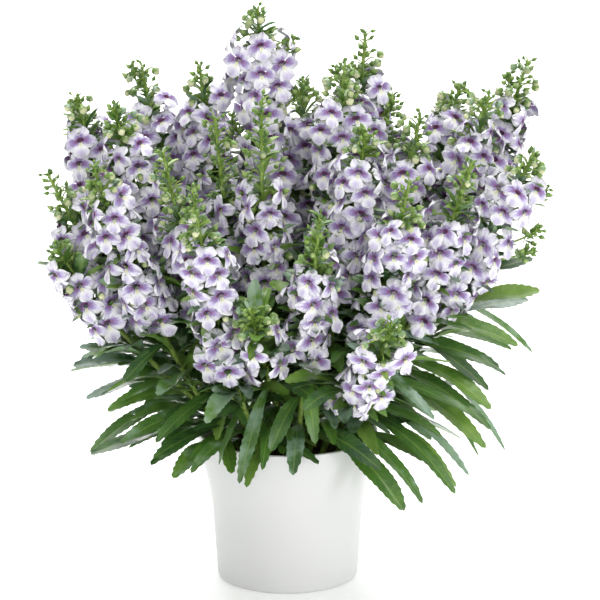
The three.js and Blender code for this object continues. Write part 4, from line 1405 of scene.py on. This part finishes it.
def moulded_polypropylene():
    """White polypropylene, injection moulded. The eye sees a clean satin white with a very slight
    orange-peel from the mould."""
    material, tree, surface = new_material("white_polypropylene")
    coordinates = add_node(tree, "ShaderNodeTexCoord")
    # The real peel is about 0.8 mm across, and is drawn at 1.6 mm so that it shows.
    peel = add_node(tree, "ShaderNodeTexNoise", {
        "Vector": coordinates.outputs["Object"], "Scale": 1 / (1.6 * MM), "Detail": 2.0,
    })
    # Handling leaves faint shades some 40 mm across.
    shades = add_node(tree, "ShaderNodeTexNoise", {
        "Vector": coordinates.outputs["Object"], "Scale": 1 / (40 * MM), "Detail": 3.0,
    })
    colour = add_node(tree, "ShaderNodeMix", {
        "Factor": shades.outputs["Fac"], "A": "#cccdcd", "B": "#d2d2d1",
    }, data_type="RGBA")
    gloss = add_node(tree, "ShaderNodeMapRange", {
        "Value": shades.outputs["Fac"], "From Min": 0.3, "From Max": 0.7, "To Min": 0.36, "To Max": 0.46,
    })
    relief = add_node(tree, "ShaderNodeBump", {
        "Height": peel.outputs["Fac"], "Distance": 0.03 * MM, "Strength": 0.4,
    })
    set_inputs(tree, surface, {
        "Base Color": colour.outputs["Result"], "Normal": relief.outputs["Normal"],
        "Roughness": gloss.outputs[0], "IOR": 1.49,
    })
    return material


def potting_soil():
    """Damp peat and fine bark. The eye sees dark brown crumbs, each a little lighter or redder than
    the next, with no shine."""
    material, tree, surface = new_material("potting_soil")
    place, _ = painted(tree)
    coordinates = add_node(tree, "ShaderNodeTexCoord")
    # Crumbs are 1 to 2 mm across.
    crumbs = add_node(tree, "ShaderNodeTexNoise", {
        "Vector": coordinates.outputs["Object"], "Scale": 1 / (1.5 * MM), "Detail": 5.0, "Roughness": 0.65,
    })
    shade = add_node(tree, "ShaderNodeMath", {
        0: place["Z"], 1: 0.5, 2: crumbs.outputs["Fac"],
    }, operation="MULTIPLY_ADD")
    browns = add_node(tree, "ShaderNodeValToRGB", {"Fac": shade.outputs[0]}, [
        (0.35, "#1d1410"), (1, "#6b5240"),
    ])
    relief = add_node(tree, "ShaderNodeBump", {
        "Height": crumbs.outputs["Fac"], "Distance": 1.0 * MM, "Strength": 0.9,
    })
    set_inputs(tree, surface, {
        "Base Color": browns.outputs["Color"], "Normal": relief.outputs["Normal"], "Roughness": 0.95,
    })
    return material


def add_turned(tissue, profile, sides):
    """A closed body turned about the upright axis, from its foot on the axis to its end on it."""
    profile = np.asarray(profile, float)
    turn = full_turn(sides)
    inner = profile[1:-1]
    x = inner[:, :1] * np.cos(turn)
    y = inner[:, :1] * np.sin(turn)
    z = np.broadcast_to(inner[:, 1:], x.shape)
    ends = [(0, 0, profile[0, 1]), (0, 0, profile[-1, 1])]
    points = np.vstack([np.stack([x, y, z], axis=-1).reshape(-1, 3), ends])
    tissue.add(points, np.zeros(6), closed_body(len(inner), sides))


def corner_arc(centre, radius, start, end):
    """Profile points round a corner, by angles in degrees."""
    turns = np.radians(np.linspace(start, end, CORNER_POINTS))
    return [(centre[0] + radius * math.cos(a), centre[1] + radius * math.sin(a)) for a in turns]


def make_pot(material):
    """The pot, turned from the profile of its base, wall, rounded rim, inside and floor."""
    pot = Tissue()
    base = pot_radius(0) - POT_EDGE
    lip = POT_WALL / 2
    wall = np.linspace(POT_EDGE + 1, POT_HEIGHT - lip, OUTER_ROWS)
    inner = np.linspace(POT_HEIGHT - lip, POT_FLOOR + 2, INNER_ROWS)
    profile = [(0, 0), (base - BASE_RING, 0), *corner_arc((base, POT_EDGE), POT_EDGE, -90, 0)]
    profile += [(pot_radius(z), z) for z in wall]
    profile += corner_arc((pot_radius(POT_HEIGHT) - lip, POT_HEIGHT - lip), lip, 20, 160)
    profile += [(pot_radius(z) - POT_WALL, z) for z in inner]
    profile += [(pot_radius(POT_FLOOR) - POT_WALL - POT_CORNER, POT_FLOOR), (0, POT_FLOOR)]
    add_turned(pot, profile, POT_SIDES)
    return pot.piece("pot_shell", [material], sharp=40)


def soil_height(x, y):
    """The soil's mound, with broad lumps that fade out at the pot's wall and a fine grain."""
    reach = np.hypot(x, y) / pot_radius(SOIL_EDGE)
    lumps = np.sin(x * 0.31 + 1.3) * np.cos(y * 0.27 - 0.6) + np.sin((x + y) * 0.19)
    grain = np.sin(x * 1.7 + 2 * np.sin(y * 0.9)) * np.sin(y * 1.9 + 1.5 * np.sin(x * 1.1))
    height = SOIL_EDGE + SOIL_MOUND * (1 - reach * reach) + SOIL_LUMP * lumps * (1 - reach ** 4)
    return height + SOIL_GRAIN * grain


def make_soil(material):
    """The soil's body, and loose crumbs on it."""
    soil = Tissue()
    wall = pot_radius(SOIL_EDGE) - POT_WALL - SOIL_GAP
    turn = full_turn(SOIL_SIDES)
    rings = np.linspace(wall, 1.5, SOIL_RINGS)
    x = rings[:, None] * np.cos(turn)
    y = rings[:, None] * np.sin(turn)
    top = np.stack([x, y, soil_height(x, y)], axis=-1)
    low = pot_radius(POT_FLOOR) - POT_WALL - POT_CORNER - 1
    bottom = np.stack([low * np.cos(turn), low * np.sin(turn), np.full(SOIL_SIDES, SOIL_FOOT)], axis=-1)
    ends = [(0, 0, SOIL_FOOT), (0, 0, float(soil_height(0.0, 0.0)))]
    points = np.vstack([bottom, top.reshape(-1, 3), ends])
    soil.add(points, np.zeros(6), closed_body(SOIL_RINGS + 1, SOIL_SIDES))
    octahedron = np.array([(1, 0, 0), (0, 1, 0), (-1, 0, 0), (0, -1, 0), (0, 0, 1), (0, 0, -1)])
    lids = [fan(0, 4, 4), fan(0, 4, 5)[:, ::-1]]
    for _ in range(SOIL_CRUMBS):
        reach = wall * 0.98 * math.sqrt(fine.uniform())
        angle = fine.uniform(0, 2 * math.pi)
        x, y = reach * math.cos(angle), reach * math.sin(angle)
        turned, _ = np.linalg.qr(fine.normal(size=(3, 3)))
        size = fine.uniform(0.5, 1.7) * fine.uniform(0.6, 1.2, 3)
        middle = np.array([x, y, float(soil_height(x, y)) + 0.2 * size[2]])
        crumb = (octahedron * size * fine.uniform(0.7, 1.2, (6, 1))) @ turned
        soil.add(middle + crumb, np.array([0, 0, fine.uniform(), 0, 0, 0]), lids)
    return soil.piece("soil_surface", [material], sharp=30)


def grow_foliage(stem, tissue):
    """A stem up to its raceme, with its leaves, and the stems that fork from it."""
    start = fork_start(stem) - FORK_OVERLAP if stem.parent >= 0 else FOOT_HEIGHT - FOOT_DEPTH
    heights = np.append(np.arange(start, stem.foot, STEM_STATION), stem.foot)
    path = stem.centre(heights)
    if stem.parent >= 0:
        path = np.vstack([stems[stem.parent].centre(FORK_HEIGHT - 1)[None], path[1:]])
    add_tube(tissue, path, [stem.radius(z) for z in heights], STEM_SIDES)
    for leaf in stem.leaves:
        add_leaf(tissue, leaf, fine.uniform(0, 0.8))
    for fork in stems:
        if fork.parent >= 0 and stems[fork.parent] is stem:
            grow_foliage(fork, tissue)


def grow_axis(stem, tissue):
    """A raceme's green parts: its axis, each flower's stalk, calyx and bract, and the head of buds."""
    heights = np.linspace(stem.foot, stem.tip[2] - 3, AXIS_STATIONS)
    add_tube(tissue, stem.centre(heights), stem.axis_radius(heights) * AXIS_FULLNESS, AXIS_SIDES)
    for flower in stem.flowers + stem.fillers:
        tone = fine.uniform(0, 1)
        base = flower.face - flower.out * POUCH[-1, 1] * flower.size
        control = flower.root + flower.away * 4 + flower.along * 3
        add_tube(tissue, arc(flower.root, control, base, 5), STALK_RADIUS, STALK_SIDES)
        add_calyx(tissue, base - flower.out, flower.out, *(CALYX_SIZE * flower.size), tone)
        length = fine.uniform(*BRACT_LENGTHS) * mix(1, BRACT_SHORTEST, flower.share)
        rise = fine.uniform(0.2, 0.9)
        below = flower.root - flower.along * 1.2
        add_bract(tissue, below, flower.away, flower.along, length, BRACT_BREADTH, rise, tone)
    for z in np.arange(stem.foot + 4, stem.tip[2] - stem.head, AXIS_LEAF_SPACING):
        here = stem.frame(z)
        turn = fine.uniform(0, 360)
        share = (z - stem.foot) / stem.open
        for half in (0, 180):
            length = fine.uniform(*AXIS_LEAF_LENGTHS) * mix(1, AXIS_LEAF_SHORTEST, share ** 3)
            rise = fine.uniform(0.1, 0.9)
            away = out_of(here, turn + half)
            tone = fine.uniform(0, 0.9) + 0.4 * smooth((z - LIGHTER_FROM) / LIGHTER_RANGE)
            add_bract(tissue, here[0], away, here[1], length, BRACT_BREADTH, rise, tone)
    grow_head(tissue, stem.frame, stem.tip[2], stem.head, max(1, stem.head / FULLER_HEAD), NODDING_BUDS)
    for _ in range(LATE_BUDS):
        here = stem.frame(stem.foot + fine.uniform(0.25, 1.1) * stem.open)
        away = out_of(here, fine.uniform(0, 360))
        middle = here[0] + away * fine.uniform(10, 18) + here[1] * fine.uniform(-2, 5)
        near = min(np.linalg.norm(middle - other) for other in faces)
        if near > LATE_BUD_GAP:
            out = unit(away - here[1] * fine.uniform(0.2, 1.2))
            control = here[0] + away * 6 + here[1] * 7
            add_ripe_bud(tissue, here[0], control, middle, out, fine.uniform(2.3, 3.2))


def grow_head(tissue, frame_at, top, head, fullness, nodding):
    """A head of pointed green buds and small leaves in a rising spiral, with ripe buds that nod. Its axis
    is given as a function from a height to the place and directions there."""
    buds = math.floor(BUDS_NEAR_TIP + head / BUD_RISING)
    leafy = fine.uniform(0.7, 1.5)
    for i in range(buds):
        share = i / (buds - 1)
        here = frame_at(top - mix(head + BUD_OVERLAP, 4, share ** 0.85))
        away = out_of(here, i * BUD_TURN + fine.uniform(-25, 25))
        reach = mix(*HEAD_REACHES, share) * fine.uniform(0.45, 1.2) * fullness
        rise = mix(*HEAD_RISES, share) * fine.uniform(0.4, 1.4)
        size = mix(*HEAD_BUDS, share) * fine.uniform(0.8, 1.2)
        middle = here[0] + away * reach + here[1] * rise
        out = unit(away * mix(0.9, 0.5, share) + here[1] * fine.uniform(0.1, 1.1))
        control = here[0] + away * reach * 0.5 + here[1] * rise * 0.8
        stalk = arc(here[0], control, middle - out * size * 0.8, 4)
        add_tube(tissue, stalk, BUD_STALK_RADIUS, STALK_SIDES)
        ripeness = max(0, 0.35 - share) * fine.uniform(0, 1.5)
        add_bud(tissue, middle, out, size, YOUNG_BUD, YOUNG_TIP, ripeness, fine.uniform(0, 1))
        length = mix(*HEAD_LEAVES, share) * leafy * fine.uniform(0.5, 1.1) * fullness
        tilt = fine.uniform(0.2, 1.1)
        away = out_of(here, fine.uniform(0, 360))
        tone = fine.uniform(0.4, 1.1)
        add_bract(tissue, here[0], away, here[1], length, HEAD_LEAF_BREADTH, tilt, tone)
    for _ in range(nodding):
        here = frame_at(top - head * fine.uniform(0.35, 1.2))
        away = out_of(here, fine.uniform(0, 360))
        reach = fine.uniform(9, 13)
        middle = here[0] + away * reach + here[1] * fine.uniform(-1, 4)
        out = unit(away * 0.5 - here[1] * fine.uniform(0.3, 1))
        control = here[0] + away * reach * 0.6 + here[1] * 9
        add_ripe_bud(tissue, here[0], control, middle, out, fine.uniform(2.3, 3.1))


def grow_shoot(stem, tissue, z, tip):
    """A side shoot that bends up and ends in a small leafy head."""
    root = stem.centre(z)
    control = mix(root, tip, 0.7) - UP * 6
    path = arc(root, control, tip, SHOOT_STATIONS)
    add_tube(tissue, path, np.linspace(*SHOOT_RADII, SHOOT_STATIONS), SHOOT_SIDES)
    along = unit(tip - control)
    across = unit(np.cross(along, (0.0, 1.0, 0.0)))
    reach = np.linalg.norm(tip - control)

    def frame_at(height):
        return tip - along * (tip[2] - height), along, across, np.cross(along, across)

    grow_head(tissue, frame_at, tip[2], SHOOT_HEAD * reach, SHOOT_FULLNESS, 0)


def put(piece, slot, *nodes):
    """Gives a piece its body and hides the solids that it stands for. Its slot is not used."""
    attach(piece, "root")
    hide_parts(*nodes)


petal = petal_tissue()
greens = [leaf_tissue(), stem_tissue(), bud_tissue()]
put(make_pot(moulded_polypropylene()), "pot", "pot")
put(make_soil(potting_soil()), "soil", "soil")

rooted = [stem for stem in stems if stem.parent < 0]
for number, stem in enumerate(rooted, 1):
    tissue = Tissue()
    grow_foliage(stem, tissue)
    put(tissue.piece(f"foliage_{number:02}", greens, sharp=50), "foliage", f"leafy_stem_{number:02}")

for number, stem in enumerate(stems, 1):
    petals = Tissue()
    add_petals(petals, stem.flowers + stem.fillers)
    put(petals.piece(f"petals_{number:02}", [petal]), "petals", f"raceme_{number:02}")
    axis = Tissue()
    grow_axis(stem, axis)
    for row, z, *tip in SHOOTS:
        if stems[row] is stem:
            grow_shoot(stem, axis, z, np.array(tip, float))
    put(axis.piece(f"axis_{number:02}", greens, sharp=60), "foliage", f"raceme_{number:02}")


def make_floor():
    """A matt pale floor that glows a little, so that it reads as white."""
    bpy.ops.mesh.primitive_plane_add(size=FLOOR_SIZE)
    floor = bpy.context.object
    floor.name = "floor"
    material, tree, surface = new_material("pale_floor")
    set_inputs(tree, surface, {
        "Base Color": "#f6f6f6", "Roughness": 0.7,
        "Emission Color": "#ffffff", "Emission Strength": FLOOR_GLOW,
    })
    floor.data.materials.append(material)


def point_at(thing, place, aim):
    """Puts a lamp or a camera in its place, looking at its aim."""
    thing.location = place
    thing.rotation_euler = (Vector(aim) - Vector(place)).to_track_quat("-Z", "Y").to_euler()
    bpy.context.scene.collection.objects.link(thing)


def add_lamp(name, place, aim, size, power, spread):
    """A square soft lamp."""
    data = bpy.data.lights.new(name, "AREA")
    data.size = size
    data.energy = power
    data.spread = math.radians(spread)
    point_at(bpy.data.objects.new(name, data), place, aim)


def add_camera():
    """A long lens that looks down on the plant from its front."""
    height = math.radians(CAMERA_ANGLE)
    back = CAMERA_DISTANCE * Vector((0, -math.cos(height), math.sin(height)))
    data = bpy.data.cameras.new("camera")
    data.lens = CAMERA_LENS
    data.sensor_width = CAMERA_SENSOR
    camera = bpy.data.objects.new("camera", data)
    point_at(camera, Vector(CAMERA_AIM) + back, CAMERA_AIM)
    bpy.context.scene.camera = camera


make_floor()
add_camera()
for lamp in LAMPS:
    add_lamp(*lamp)
world = bpy.data.worlds.new("studio")
world.use_nodes = True
background = world.node_tree.nodes["Background"]
set_inputs(world.node_tree, background, {"Color": "#ffffff", "Strength": WORLD_LIGHT})
bpy.context.scene.world = world
bpy.context.scene.view_settings.view_transform = "Standard"
